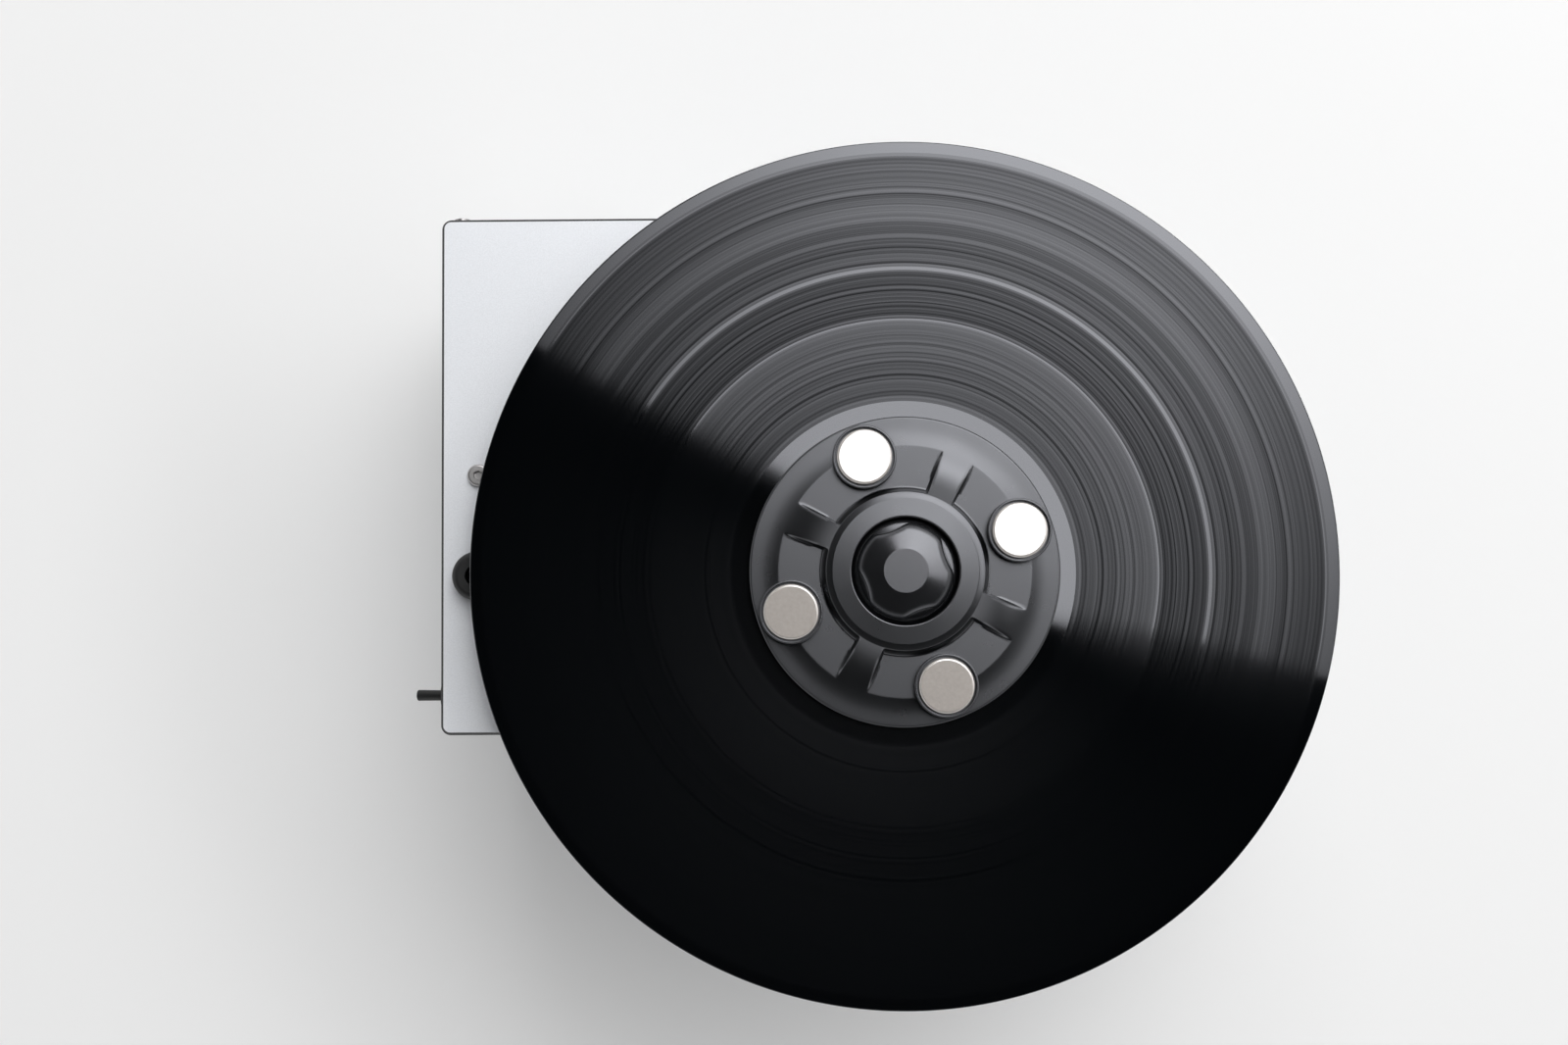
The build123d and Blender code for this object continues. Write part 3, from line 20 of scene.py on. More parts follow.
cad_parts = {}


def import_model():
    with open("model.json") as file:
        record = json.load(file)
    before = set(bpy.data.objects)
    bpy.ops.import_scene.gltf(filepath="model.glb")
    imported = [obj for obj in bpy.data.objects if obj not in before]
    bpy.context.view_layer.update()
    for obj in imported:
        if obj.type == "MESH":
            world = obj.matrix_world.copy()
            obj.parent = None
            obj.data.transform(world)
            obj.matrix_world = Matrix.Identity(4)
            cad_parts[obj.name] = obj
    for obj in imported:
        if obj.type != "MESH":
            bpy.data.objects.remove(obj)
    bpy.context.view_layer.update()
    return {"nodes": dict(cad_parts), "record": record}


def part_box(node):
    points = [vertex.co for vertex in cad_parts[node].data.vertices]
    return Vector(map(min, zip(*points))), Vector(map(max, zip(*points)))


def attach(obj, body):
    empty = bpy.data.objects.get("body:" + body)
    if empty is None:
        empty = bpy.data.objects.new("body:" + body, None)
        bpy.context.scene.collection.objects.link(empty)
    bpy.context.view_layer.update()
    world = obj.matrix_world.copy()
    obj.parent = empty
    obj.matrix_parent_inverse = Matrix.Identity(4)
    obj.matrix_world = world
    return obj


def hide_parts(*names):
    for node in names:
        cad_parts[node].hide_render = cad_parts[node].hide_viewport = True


LOG = logging.getLogger("record_cleaner")
MM = 0.001
WELD_DISTANCE = 0.002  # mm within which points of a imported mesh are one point
FLAT_ANGLE = 0.4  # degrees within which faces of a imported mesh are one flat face

Point = tuple[float, float]
Corner = tuple[float, float, float]


# ---- Colour and node helpers ----
def linear(code: str) -> tuple[float, float, float, float]:
    """Turns an sRGB hex colour into linear RGBA.

    Args:
        code: six hex digits, with or without a leading #.

    Returns:
        The linear red, green, blue and an alpha of 1.
    """
    digits = code.lstrip("#")
    parts = [int(digits[i : i + 2], 16) / 255 for i in (0, 2, 4)]
    red, green, blue = (c / 12.92 if c <= 0.04045 else ((c + 0.055) / 1.055) ** 2.4 for c in parts)
    return red, green, blue, 1.0


def per_mm(size: float) -> float:
    """Gives the texture scale at which one feature is size millimetres across."""
    return 1.0 / (size * MM)


def add_node(tree: Any, kind: str, settings: dict[str, Any] | None = None, **inputs: Any) -> Any:
    """Adds one node with its settings and links.

    Args:
        tree: the node tree to add to.
        kind: the node's type name.
        settings: attributes to set on the node before its inputs.
        inputs: an input's name (spaces as underscores) or in0, in1 by place, with a value or the
            output socket to link from.

    Returns:
        The new node.
    """
    node = tree.nodes.new(kind)
    for name, value in (settings or {}).items():
        setattr(node, name, value)
    for name, value in inputs.items():
        place = name[2:]
        key = int(place) if name.startswith("in") and place.isdigit() else name.replace("_", " ")
        socket = node.inputs[key]
        if isinstance(value, bpy.types.NodeSocket):
            tree.links.new(value, socket)
        else:
            socket.default_value = value
    return node


def blank_tree(owner: Any) -> Any:
    """Gives a material or world an empty node tree and returns the tree."""
    owner.use_nodes = True
    owner.node_tree.nodes.clear()
    return owner.node_tree


def stops(ramp: Any, points: Sequence[tuple[float, float]]) -> None:
    """Sets a colour ramp's grey stops.

    Args:
        ramp: the ramp node.
        points: (place, grey) pairs in rising order, at most 32.
    """
    elements = ramp.color_ramp.elements
    while len(elements) > 1:
        elements.remove(elements[-1])
    for number, (place, grey) in enumerate(points):
        element = elements[0] if number == 0 else elements.new(place)
        element.position = place
        element.color = (grey, grey, grey, 1.0)


# ---- Finishes ----
@dataclass(frozen=True)
class Finish:
    """A surface finish: a base colour with fine grain, soft mottling and uneven gloss.

    Sizes are millimetres. A metal keeps the shader's own refraction index.
    """

    name: str
    colour: str
    roughness: float
    metallic: float = 0.0
    ior: float = 1.5
    grain: float = 0.35
    grain_depth: float = 0.012
    mottle: float = 9.0
    mottle_share: float = 0.06
    gloss_swing: float = 0.05
    specular: float = 0.5
    sheen: tuple[float, float, float] = (1.0, 1.0, 1.0)
    coat: float = 0.0
    coat_roughness: float = 0.05
    coat_ior: float = 1.5

    def material(self) -> bpy.types.Material:
        """Builds the material once and returns it."""
        found = bpy.data.materials.get(self.name)
        if found is not None:
            return found
        material = bpy.data.materials.new(self.name)
        tree = blank_tree(material)
        shader = add_node(tree, "ShaderNodeBsdfPrincipled")
        shader.inputs["Metallic"].default_value = self.metallic
        shader.inputs["Specular IOR Level"].default_value = self.specular
        shader.inputs["Specular Tint"].default_value = (*self.sheen, 1.0)
        if self.metallic < 0.5:
            shader.inputs["IOR"].default_value = self.ior
        if self.coat > 0:
            shader.inputs["Coat Weight"].default_value = self.coat
            shader.inputs["Coat Roughness"].default_value = self.coat_roughness
            shader.inputs["Coat IOR"].default_value = self.coat_ior
        add_node(tree, "ShaderNodeOutputMaterial", Surface=shader.outputs["BSDF"])
        place = add_node(tree, "ShaderNodeTexCoord").outputs["Object"]
        height, depth = self.detail(tree, shader, place)
        bump = add_node(tree, "ShaderNodeBump", Height=height, Strength=1.0, Distance=depth * MM)
        tree.links.new(bump.outputs["Normal"], shader.inputs["Normal"])
        material.diffuse_color = linear(self.colour)
        return material

    def detail(self, tree: Any, shader: Any, place: Any) -> tuple[Any, float]:
        """Adds the colour and gloss nodes, and the height of the relief.

        Args:
            tree: the material's node tree.
            shader: its principled shader.
            place: the Object coordinates socket.

        Returns:
            The socket with the relief's height, 0 to 1, and the millimetres that 1 stands for.
        """
        fine = add_node(tree, "ShaderNodeTexNoise", Vector=place, Scale=per_mm(self.grain), Detail=2.0)
        self.shade(tree, shader, place)
        return fine.outputs["Fac"], self.grain_depth

    def shade(self, tree: Any, shader: Any, place: Any) -> None:
        """Adds the mottled colour and the uneven gloss, from one wide noise.

        Args:
            tree: the material's node tree.
            shader: its principled shader.
            place: the coordinates that the noise reads.
        """
        wide = add_node(tree, "ShaderNodeTexNoise", Vector=place, Scale=per_mm(self.mottle), Detail=4.0)
        low, high = 1.0 - self.mottle_share, 1.0 + self.mottle_share
        tone = add_node(tree, "ShaderNodeMapRange", Value=wide.outputs["Fac"], To_Min=low, To_Max=high)
        self.paint(tree, shader, tone.outputs["Result"], wide.outputs["Fac"])

    def paint(self, tree: Any, shader: Any, tone: Any, wide: Any) -> None:
        """Links the colour, scaled by a tone, and the gloss, which follows a noise.

        Args:
            tree: the material's node tree.
            shader: its principled shader.
            tone: the socket that scales the colour.
            wide: the noise that the gloss follows.
        """
        colour = add_node(
            tree, "ShaderNodeVectorMath", {"operation": "SCALE"}, in0=linear(self.colour)[:3], Scale=tone
        )
        gloss = add_node(
            tree, "ShaderNodeMapRange", Value=wide, To_Min=self.roughness - self.gloss_swing,
            To_Max=self.roughness + self.gloss_swing,
        )
        tree.links.new(colour.outputs["Vector"], shader.inputs["Base Color"])
        tree.links.new(gloss.outputs["Result"], shader.inputs["Roughness"])


@dataclass(frozen=True)
class BrushedFinish(Finish):
    """Metal with faint streaks along one axis over its grain, as rolling or brushing leaves."""

    streak_width: float = 0.6
    streak_length: float = 45.0
    streak_axis: int = 1
    streak_share: float = 0.05

    def detail(self, tree: Any, shader: Any, place: Any) -> tuple[Any, float]:
        """Adds grain, and streaks that lighten and roughen the metal."""
        scale = [per_mm(self.streak_width)] * 3
        scale[self.streak_axis] = per_mm(self.streak_length)
        drawn = add_node(tree, "ShaderNodeMapping", Vector=place, Scale=scale)
        streak = add_node(tree, "ShaderNodeTexNoise", Vector=drawn.outputs["Vector"], Scale=1.0, Detail=3.0)
        fine = add_node(tree, "ShaderNodeTexNoise", Vector=place, Scale=per_mm(self.grain), Detail=3.0)
        wide = add_node(tree, "ShaderNodeTexNoise", Vector=place, Scale=per_mm(self.mottle), Detail=3.0)
        grains = add_node(
            tree, "ShaderNodeMapRange", Value=fine.outputs["Fac"], To_Min=-self.mottle_share,
            To_Max=self.mottle_share,
        )
        lines = add_node(
            tree, "ShaderNodeMapRange", Value=streak.outputs["Fac"], To_Min=1.0 - self.streak_share,
            To_Max=1.0 + self.streak_share,
        )
        tone = add_node(tree, "ShaderNodeMath", in0=grains.outputs["Result"], in1=lines.outputs["Result"])
        self.paint(tree, shader, tone.outputs["Value"], wide.outputs["Fac"])
        both = add_node(tree, "ShaderNodeMath", in0=streak.outputs["Fac"], in1=fine.outputs["Fac"])
        return both.outputs["Value"], self.grain_depth


@dataclass(frozen=True)
class GrooveBand:
    """One band of a record's face, out to a radius in millimetres.

    cut is the share of the face that its groove walls take from the flat land, 0 to 1.
    """

    outer: float
    cut: float


@dataclass(frozen=True)
class PressedVinyl(Finish):
    """Pressed PVC: black and mirror smooth, with cut grooves.

    The land between the grooves mirrors as the smooth bands do. The walls throw the light that
    they take across the groove, so it fans out along the radius and stays sharp along the groove.
    """

    centre_x: float = 0.0
    centre_y: float = 0.0
    face_radius: float = 151.0
    bands: tuple[GrooveBand, ...] = ()
    smooth_gloss: float = 0.06
    groove_gloss: float = 0.13
    ring_pitch: float = 1.1
    line_pitch: float = 0.42
    ring_depth: float = 0.0012
    loud_swing: float = 0.16
    loud_limits: Point = (0.32, 0.68)
    fine_swing: float = 0.08
    fine_limits: Point = (0.3, 0.7)

    def detail(self, tree: Any, shader: Any, place: Any) -> tuple[Any, float]:
        """Adds the bands, the ring relief and the direction that the grooves run in."""
        centre = (self.centre_x * MM, self.centre_y * MM, 0.0)
        moved = add_node(tree, "ShaderNodeVectorMath", {"operation": "SUBTRACT"}, in0=place, in1=centre)
        flat = add_node(
            tree, "ShaderNodeVectorMath", {"operation": "MULTIPLY"}, in0=moved.outputs["Vector"],
            in1=(1, 1, 0),
        ).outputs["Vector"]
        length = add_node(tree, "ShaderNodeVectorMath", {"operation": "LENGTH"}, in0=flat)
        outward = add_node(tree, "ShaderNodeVectorMath", {"operation": "NORMALIZE"}, in0=flat)
        radius = length.outputs["Value"]
        rings = self.ring_noise(tree, radius, self.ring_pitch)
        lines = self.ring_noise(tree, radius, self.line_pitch)
        cut = self.cut_share(tree, radius, rings, lines)
        gloss = add_node(
            tree, "ShaderNodeMapRange", Value=cut, To_Min=self.smooth_gloss, To_Max=self.groove_gloss
        )
        land = add_node(
            tree, "ShaderNodeMath", {"operation": "SUBTRACT", "use_clamp": True}, in0=1.0, in1=cut
        )
        mirror = add_node(
            tree, "ShaderNodeVectorMath", {"operation": "SCALE"}, in0=self.sheen,
            Scale=land.outputs["Value"],
        )
        tree.links.new(gloss.outputs["Result"], shader.inputs["Roughness"])
        tree.links.new(mirror.outputs["Vector"], shader.inputs["Specular Tint"])
        turned = add_node(
            tree,
            "ShaderNodeVectorTransform",
            {"vector_type": "VECTOR", "convert_from": "OBJECT", "convert_to": "WORLD"},
            Vector=outward.outputs["Vector"],
        )
        tree.links.new(turned.outputs["Vector"], shader.inputs["Tangent"])
        shader.inputs["Anisotropic"].default_value = 1.0
        shader.inputs["Base Color"].default_value = linear(self.colour)
        depth = add_node(tree, "ShaderNodeMath", {"operation": "MULTIPLY"}, in0=rings, in1=cut)
        return depth.outputs["Value"], self.ring_depth

    def cut_share(self, tree: Any, radius: Any, rings: Any, lines: Any) -> Any:
        """Adds the share that the groove walls take, by band and by loud and quiet turns.

        Args:
            tree: the material's node tree.
            radius: the socket with the radius in metres.
            rings: the wide rings' noise.
            lines: the fine lines' noise.

        Returns:
            The socket with the share, 0 to 1.
        """
        part = add_node(
            tree, "ShaderNodeMath", {"operation": "DIVIDE"}, in0=radius, in1=self.face_radius * MM
        )
        ramp = add_node(tree, "ShaderNodeValToRGB", Fac=part.outputs["Value"])
        ramp.color_ramp.interpolation = "CONSTANT"
        inner = [0.0] + [band.outer / self.face_radius for band in self.bands[:-1]]
        stops(ramp, [(start, band.cut) for start, band in zip(inner, self.bands)])
        loud, fine = (
            add_node(
                tree, "ShaderNodeMapRange", Value=source, From_Min=limits[0], From_Max=limits[1],
                To_Min=middle - swing, To_Max=middle + swing,
            ).outputs["Result"]
            for source, limits, middle, swing in (
                (rings, self.loud_limits, 0.0, self.loud_swing),
                (lines, self.fine_limits, 1.0, self.fine_swing),
            )
        )
        lively = add_node(tree, "ShaderNodeMath", in0=loud, in1=fine)
        share = add_node(
            tree,
            "ShaderNodeMath",
            {"operation": "MULTIPLY", "use_clamp": True},
            in0=ramp.outputs["Color"],
            in1=lively.outputs["Value"],
        )
        return share.outputs["Value"]

    def ring_noise(self, tree: Any, radius: Any, pitch: float) -> Any:
        """Adds noise that changes with radius alone.

        Args:
            tree: the material's node tree.
            radius: the socket with the radius in metres.
            pitch: the rings' mean spacing in millimetres.

        Returns:
            The noise's output socket.
        """
        turns = add_node(tree, "ShaderNodeMath", {"operation": "MULTIPLY"}, in0=radius, in1=per_mm(pitch))
        noise = add_node(
            tree, "ShaderNodeTexNoise", {"noise_dimensions": "1D"}, W=turns.outputs["Value"], Scale=1.0,
            Detail=1.0,
        )
        return noise.outputs["Fac"]


@dataclass(frozen=True)
class BoardFinish(Finish):
    """Fibreglass board under solder resist, with lighter copper tracks showing through."""

    track_pitch: float = 2.54
    track_colour: str = "3C8F5C"
    track_share: float = 0.03

    def detail(self, tree: Any, shader: Any, place: Any) -> tuple[Any, float]:
        """Adds the tracks as a brick pattern in the resist's colour."""
        self.shade(tree, shader, place)
        tracks = add_node(
            tree,
            "ShaderNodeTexBrick",
            Vector=place,
            Color1=linear(self.colour),
            Color2=linear(self.colour),
            Mortar=linear(self.track_colour),
            Scale=per_mm(4 * self.track_pitch),
            Mortar_Size=self.track_share,
        )
        tree.links.new(tracks.outputs["Color"], shader.inputs["Base Color"])
        return tracks.outputs["Fac"], self.grain_depth


class Slot(Enum):
    """The finishes of the machine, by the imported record's slot names."""

    SATIN_ALUMINIUM = "satin_aluminium"
    BLACK_CORE = "black_core"
    PLATED_STEEL = "plated_steel"
    SCREW_STEEL = "screw_steel"
    NICKEL = "nickel"
    BRONZE = "bronze"
    BRASS = "brass"
    BLACK_PLASTIC = "black_plastic"
    GLOSS_BLACK = "gloss_black"
    VINYL = "vinyl"
    LABEL_PAPER = "label_paper"
    RUBBER = "rubber"
    GEAR_PLASTIC = "gear_plastic"
    TANK_PLASTIC = "tank_plastic"
    MOTOR_STEEL = "motor_steel"
    BOARD_GREEN = "board_green"


# A bead-blasted and anodised sheet looks evenly silver-grey, with a sparkle at the grain's size.
# Its real grain of 0.05 mm is drawn at 0.5 mm, or it would not show.
ANODISED_TOP = BrushedFinish(
    "anodised_aluminium_top", "DADCE0", 0.55, metallic=0.62, grain=0.45, grain_depth=0.006, mottle=40.0,
    mottle_share=0.12, gloss_swing=0.02, streak_share=0.01,
)
ANODISED_SIDE = BrushedFinish(
    "anodised_aluminium_side", "B4B7BB", 0.45, metallic=0.8, grain=0.5, grain_depth=0.004, mottle=40.0,
    mottle_share=0.04, gloss_swing=0.03, streak_axis=2, streak_share=0.04,
)
# Carbon black gives plastics a sheen that leans a little to blue.
COOL_BLACK = (0.97, 0.985, 1.055)
# Injection-moulded ABS in carbon black is all but black itself. Its satin skin carries a broad
# grey sheen, so that it looks charcoal where it faces the light.
MOULDED_CHARCOAL = Finish(
    "moulded_abs_charcoal", "08090A", 0.28, ior=1.54, specular=0.94, sheen=COOL_BLACK, grain=0.4,
    grain_depth=0.0015, mottle_share=0.1, gloss_swing=0.02,
)
# The same ABS from a polished mould shows narrower highlights.
POLISHED_BLACK = Finish(
    "polished_abs_black", "08090A", 0.25, ior=1.54, specular=0.94, sheen=COOL_BLACK, grain=0.5,
    grain_depth=0.0008, mottle_share=0.1, gloss_swing=0.02,
)
# Nickel on a satin-ground magnet: the grit of about 0.2 mm below is a warm, even grey, and the
# levelled plate over it mirrors a lamp clean white.
SATIN_NICKEL = Finish(
    "satin_nickel_plate", "B4AEA9", 0.6, metallic=1.0, grain=0.4, grain_depth=0.006, mottle=1.2,
    mottle_share=0.16, gloss_swing=0.04, coat=1.0, coat_roughness=0.06, coat_ior=2.8,
)

PALETTE: dict[Slot, Finish] = {
    Slot.SATIN_ALUMINIUM: ANODISED_SIDE,
    # The top panel's black edge is painted reflection: it stands in for the darker surroundings that the
    # rounded edge of the top mirrors. It is dull, and a little lighter where it is rubbed.
    Slot.BLACK_CORE: Finish("black_lacquered_edge", "0D0E10", 0.36, grain=0.3, grain_depth=0.004),
    # Bright zinc on sheet steel has a faint spangle about 6 mm across.
    Slot.PLATED_STEEL: Finish(
        "zinc_plated_steel", "A9ACB0", 0.36, metallic=1.0, grain=0.6, grain_depth=0.004, mottle=6.0,
        mottle_share=0.12, gloss_swing=0.08,
    ),
    # Stainless fasteners are turned, and duller than the case.
    Slot.SCREW_STEEL: Finish(
        "stainless_fastener", "A5A3A3", 0.33, metallic=1.0, grain=0.25, grain_depth=0.004, mottle=1.5,
        mottle_share=0.12, gloss_swing=0.08,
    ),
    Slot.NICKEL: SATIN_NICKEL,
    # Sintered bronze is porous and oily.
    Slot.BRONZE: Finish(
        "sintered_bronze", "A97B4A", 0.42, metallic=1.0, grain=0.3, grain_depth=0.02, mottle=2.0,
        mottle_share=0.15,
    ),
    Slot.BRASS: Finish("turned_brass", "C9A45C", 0.28, metallic=1.0, grain=0.25, grain_depth=0.005),
    # Spark-eroded black ABS, a little darker than the clamp.
    Slot.BLACK_PLASTIC: Finish(
        "moulded_abs_black", "0C0D0E", 0.52, ior=1.54, specular=0.35, grain=0.4, grain_depth=0.012,
        mottle_share=0.15,
    ),
    Slot.GLOSS_BLACK: POLISHED_BLACK,
    # Uncoated label paper is matt, with fibres about 0.3 mm long.
    Slot.LABEL_PAPER: Finish("matt_label_paper", "9C4A41", 0.85, grain=0.3, grain_depth=0.02, mottle=4.0),
    # Moulded rubber is nearly black and very dull, with a bloom in patches.
    Slot.RUBBER: Finish(
        "moulded_rubber", "202122", 0.72, ior=1.52, grain=0.5, grain_depth=0.02, mottle=5.0,
        mottle_share=0.18,
    ),
    # Natural acetal is an off-white, slightly waxy plastic.
    Slot.GEAR_PLASTIC: Finish("machined_acetal", "E6E3DA", 0.38, ior=1.48, grain=0.3, grain_depth=0.006),
    # Blow-moulded polyethylene is milky, with gentle waves about 12 mm apart.
    Slot.TANK_PLASTIC: Finish(
        "blow_moulded_polyethylene", "DDE0E2", 0.4, ior=1.51, grain=12.0, grain_depth=0.15, mottle=15.0
    ),
    # Stoved grey paint on motor cans has a light orange peel.
    Slot.MOTOR_STEEL: Finish("stoved_grey_paint", "63666B", 0.35, grain=1.2, grain_depth=0.02),
    Slot.BOARD_GREEN: BoardFinish("solder_resist_green", "1F6E43", 0.3, grain_depth=0.03),
}


# ---- Mesh helpers ----
def soften(corners: Sequence[Corner], steps: int = 4, guard: float = 0.06) -> list[Point]:
    """Rounds the corners of a profile.

    Args:
        corners: (radius, height, rounding) of each corner in order, in millimetres.
        steps: the number of chords in each rounding.
        guard: the length of flat kept beside each rounding, so that the faces past it stay flat.

    Returns:
        The rounded profile's points.
    """
    points: list[Point] = []
    last = len(corners) - 1
    for number, (x, y, bend) in enumerate(corners):
        if bend <= 0 or number in (0, last):
            points.append((x, y))
            continue
        here = Vector((x, y))
        back = Vector(corners[number - 1][:2]) - here
        ahead = Vector(corners[number + 1][:2]) - here
        half = back.angle(ahead) / 2
        run = min(bend / math.tan(half), 0.45 * back.length, 0.45 * ahead.length)
        start, end = here + back.normalized() * run, here + ahead.normalized() * run
        middle = here + (back.normalized() + ahead.normalized()).normalized() * run / math.cos(half)
        first, final = start - middle, end - middle
        turn = first.angle_signed(final)
        before, after = (min(guard, (way.length - run) / 3) for way in (back, ahead))
        points.append(tuple(start + back.normalized() * before))
        for step in range(steps + 1):
            spoke = first.copy()
            spoke.rotate(Matrix.Rotation(-turn * step / steps, 2))
            points.append(tuple(middle + spoke))
        points.append(tuple(end + ahead.normalized() * after))
    return points


def loft(rings: Sequence[Sequence[Vector]], ring_shaped: bool = False) -> bmesh.types.BMesh:
    """Skins a stack of closed rings.

    Args:
        rings: rings of equally many points in metres, or one point for a pole.
        ring_shaped: whether the last ring joins the first.

    Returns:
        The mesh, with its faces pointing outwards.
    """
    mesh = bmesh.new()
    rows = [[mesh.verts.new(point) for point in ring] for ring in rings]
    pairs = list(zip(rows, rows[1:]))
    if ring_shaped:
        pairs.append((rows[-1], rows[0]))
    for low, high in pairs:
        count = max(len(low), len(high))
        for i in range(count):
            after = (i + 1) % count
            if len(low) == 1:
                mesh.faces.new((low[0], high[after], high[i]))
            elif len(high) == 1:
                mesh.faces.new((low[i], low[after], high[0]))
            else:
                mesh.faces.new((low[i], low[after], high[after], high[i]))
    bmesh.ops.recalc_face_normals(mesh, faces=mesh.faces)
    return mesh


def circle(radius: float, height: float, middle: Point, sides: int) -> list[Vector]:
    """Gives a level circle's points in metres.

    Args:
        radius: its radius in millimetres.
        height: its height in millimetres.
        middle: its centre in millimetres.
        sides: the number of points.

    Returns:
        The points, anticlockwise from the X axis.
    """
    x, y = middle
    angles = (2 * math.pi * number / sides for number in range(sides))
    return [Vector((x + radius * math.cos(a), y + radius * math.sin(a), height)) * MM for a in angles]


def lathe(profile: Sequence[Point], middle: Point = (0.0, 0.0), segments: int = 96) -> bmesh.types.BMesh:
    """Turns a profile about a vertical axis.

    Args:
        profile: (radius, height) points in millimetres. It ends on the axis twice, or runs round
            a ring-shaped body and is joined to its start.
        middle: the axis's place in millimetres.
        segments: the number of sides.

    Returns:
        The turned mesh.
    """
    rings = []
    for radius, height in profile:
        if radius < 1e-6:
            rings.append([Vector((middle[0], middle[1], height)) * MM])
        else:
            rings.append(circle(radius, height, middle, segments))
    return loft(rings, ring_shaped=profile[0][0] > 1e-6)


def stand(name: str, mesh: bmesh.types.BMesh, finish: Finish, sharp: float = 38.0) -> bpy.types.Object:
    """Makes an object of a mesh, smooth except at sharp edges.

    Args:
        name: the object's name.
        mesh: the mesh, which is freed.
        finish: the finish to give it.
        sharp: the angle in degrees past which an edge stays sharp.

    Returns:
        The object, linked to the scene.
    """
    data = bpy.data.meshes.new(name)
    mesh.to_mesh(data)
    mesh.free()
    data.materials.append(finish.material())
    data.shade_smooth()
    data.set_sharp_from_angle(angle=math.radians(sharp))
    piece = bpy.data.objects.new(name, data)
    bpy.context.scene.collection.objects.link(piece)
    return piece


def settle(piece: bpy.types.Object) -> None:
    """Turns a piece's modifiers into plain mesh.

    Args:
        piece: the object, whose modifiers are removed.
    """
    graph = bpy.context.evaluated_depsgraph_get()
    done = bpy.data.meshes.new_from_object(
        piece.evaluated_get(graph), preserve_all_data_layers=True, depsgraph=graph
    )
    piece.modifiers.clear()
    rough, piece.data = piece.data, done
    bpy.data.meshes.remove(rough)


def polished(node: bpy.types.Object, finish: Finish, edge: float, sharp: float = 32.0) -> bpy.types.Object:
    """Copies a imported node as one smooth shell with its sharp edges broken.

    Args:
        node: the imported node.
        finish: the finish to give the copy.
        edge: the width of the broken edges in millimetres.
        sharp: the angle in degrees past which an edge is broken.

    Returns:
        The copy.
    """
    mesh = bmesh.new()
    mesh.from_mesh(node.data)
    bmesh.ops.remove_doubles(mesh, verts=mesh.verts, dist=WELD_DISTANCE * MM)
    bmesh.ops.dissolve_limit(
        mesh, angle_limit=math.radians(FLAT_ANGLE), verts=mesh.verts, edges=mesh.edges,
        use_dissolve_boundaries=False,
    )
    piece = stand(f"{node.name}_finished", mesh, finish, sharp)
    if edge > 0:
        breaks = piece.modifiers.new("broken_edges", "BEVEL")
        breaks.width = edge * MM
        breaks.segments = 2
        breaks.limit_method = "ANGLE"
        breaks.angle_limit = math.radians(sharp)
        breaks.use_clamp_overlap = True
        breaks.miter_outer = "MITER_ARC"
    weights = piece.modifiers.new("flat_faces_lead", "WEIGHTED_NORMAL")
    weights.keep_sharp = True
    settle(piece)
    return piece


def wear(piece: bpy.types.Object, body: str, slot: Slot, *nodes: str) -> bpy.types.Object:
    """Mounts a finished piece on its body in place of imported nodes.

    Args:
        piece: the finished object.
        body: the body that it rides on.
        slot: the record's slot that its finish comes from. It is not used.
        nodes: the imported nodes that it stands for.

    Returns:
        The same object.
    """
    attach(piece, body)
    if nodes:
        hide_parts(*nodes)
    LOG.info("%s rides on %s with %d faces", piece.name, body, len(piece.data.polygons))
    return piece


def middle_of(node: str) -> Vector:
    """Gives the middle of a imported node's box in millimetres."""
    low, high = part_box(node)
    return (low + high) / 2 / MM


def ends_of(node: str) -> tuple[Vector, Vector]:
    """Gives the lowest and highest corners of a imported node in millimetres."""
    low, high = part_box(node)
    return low / MM, high / MM


# ---- Geometry Nodes that repeat a piece ----
class Pattern(Enum):
    """How a piece is repeated."""

    RING = "ring"
    GRID = "grid"
    ROW = "row"


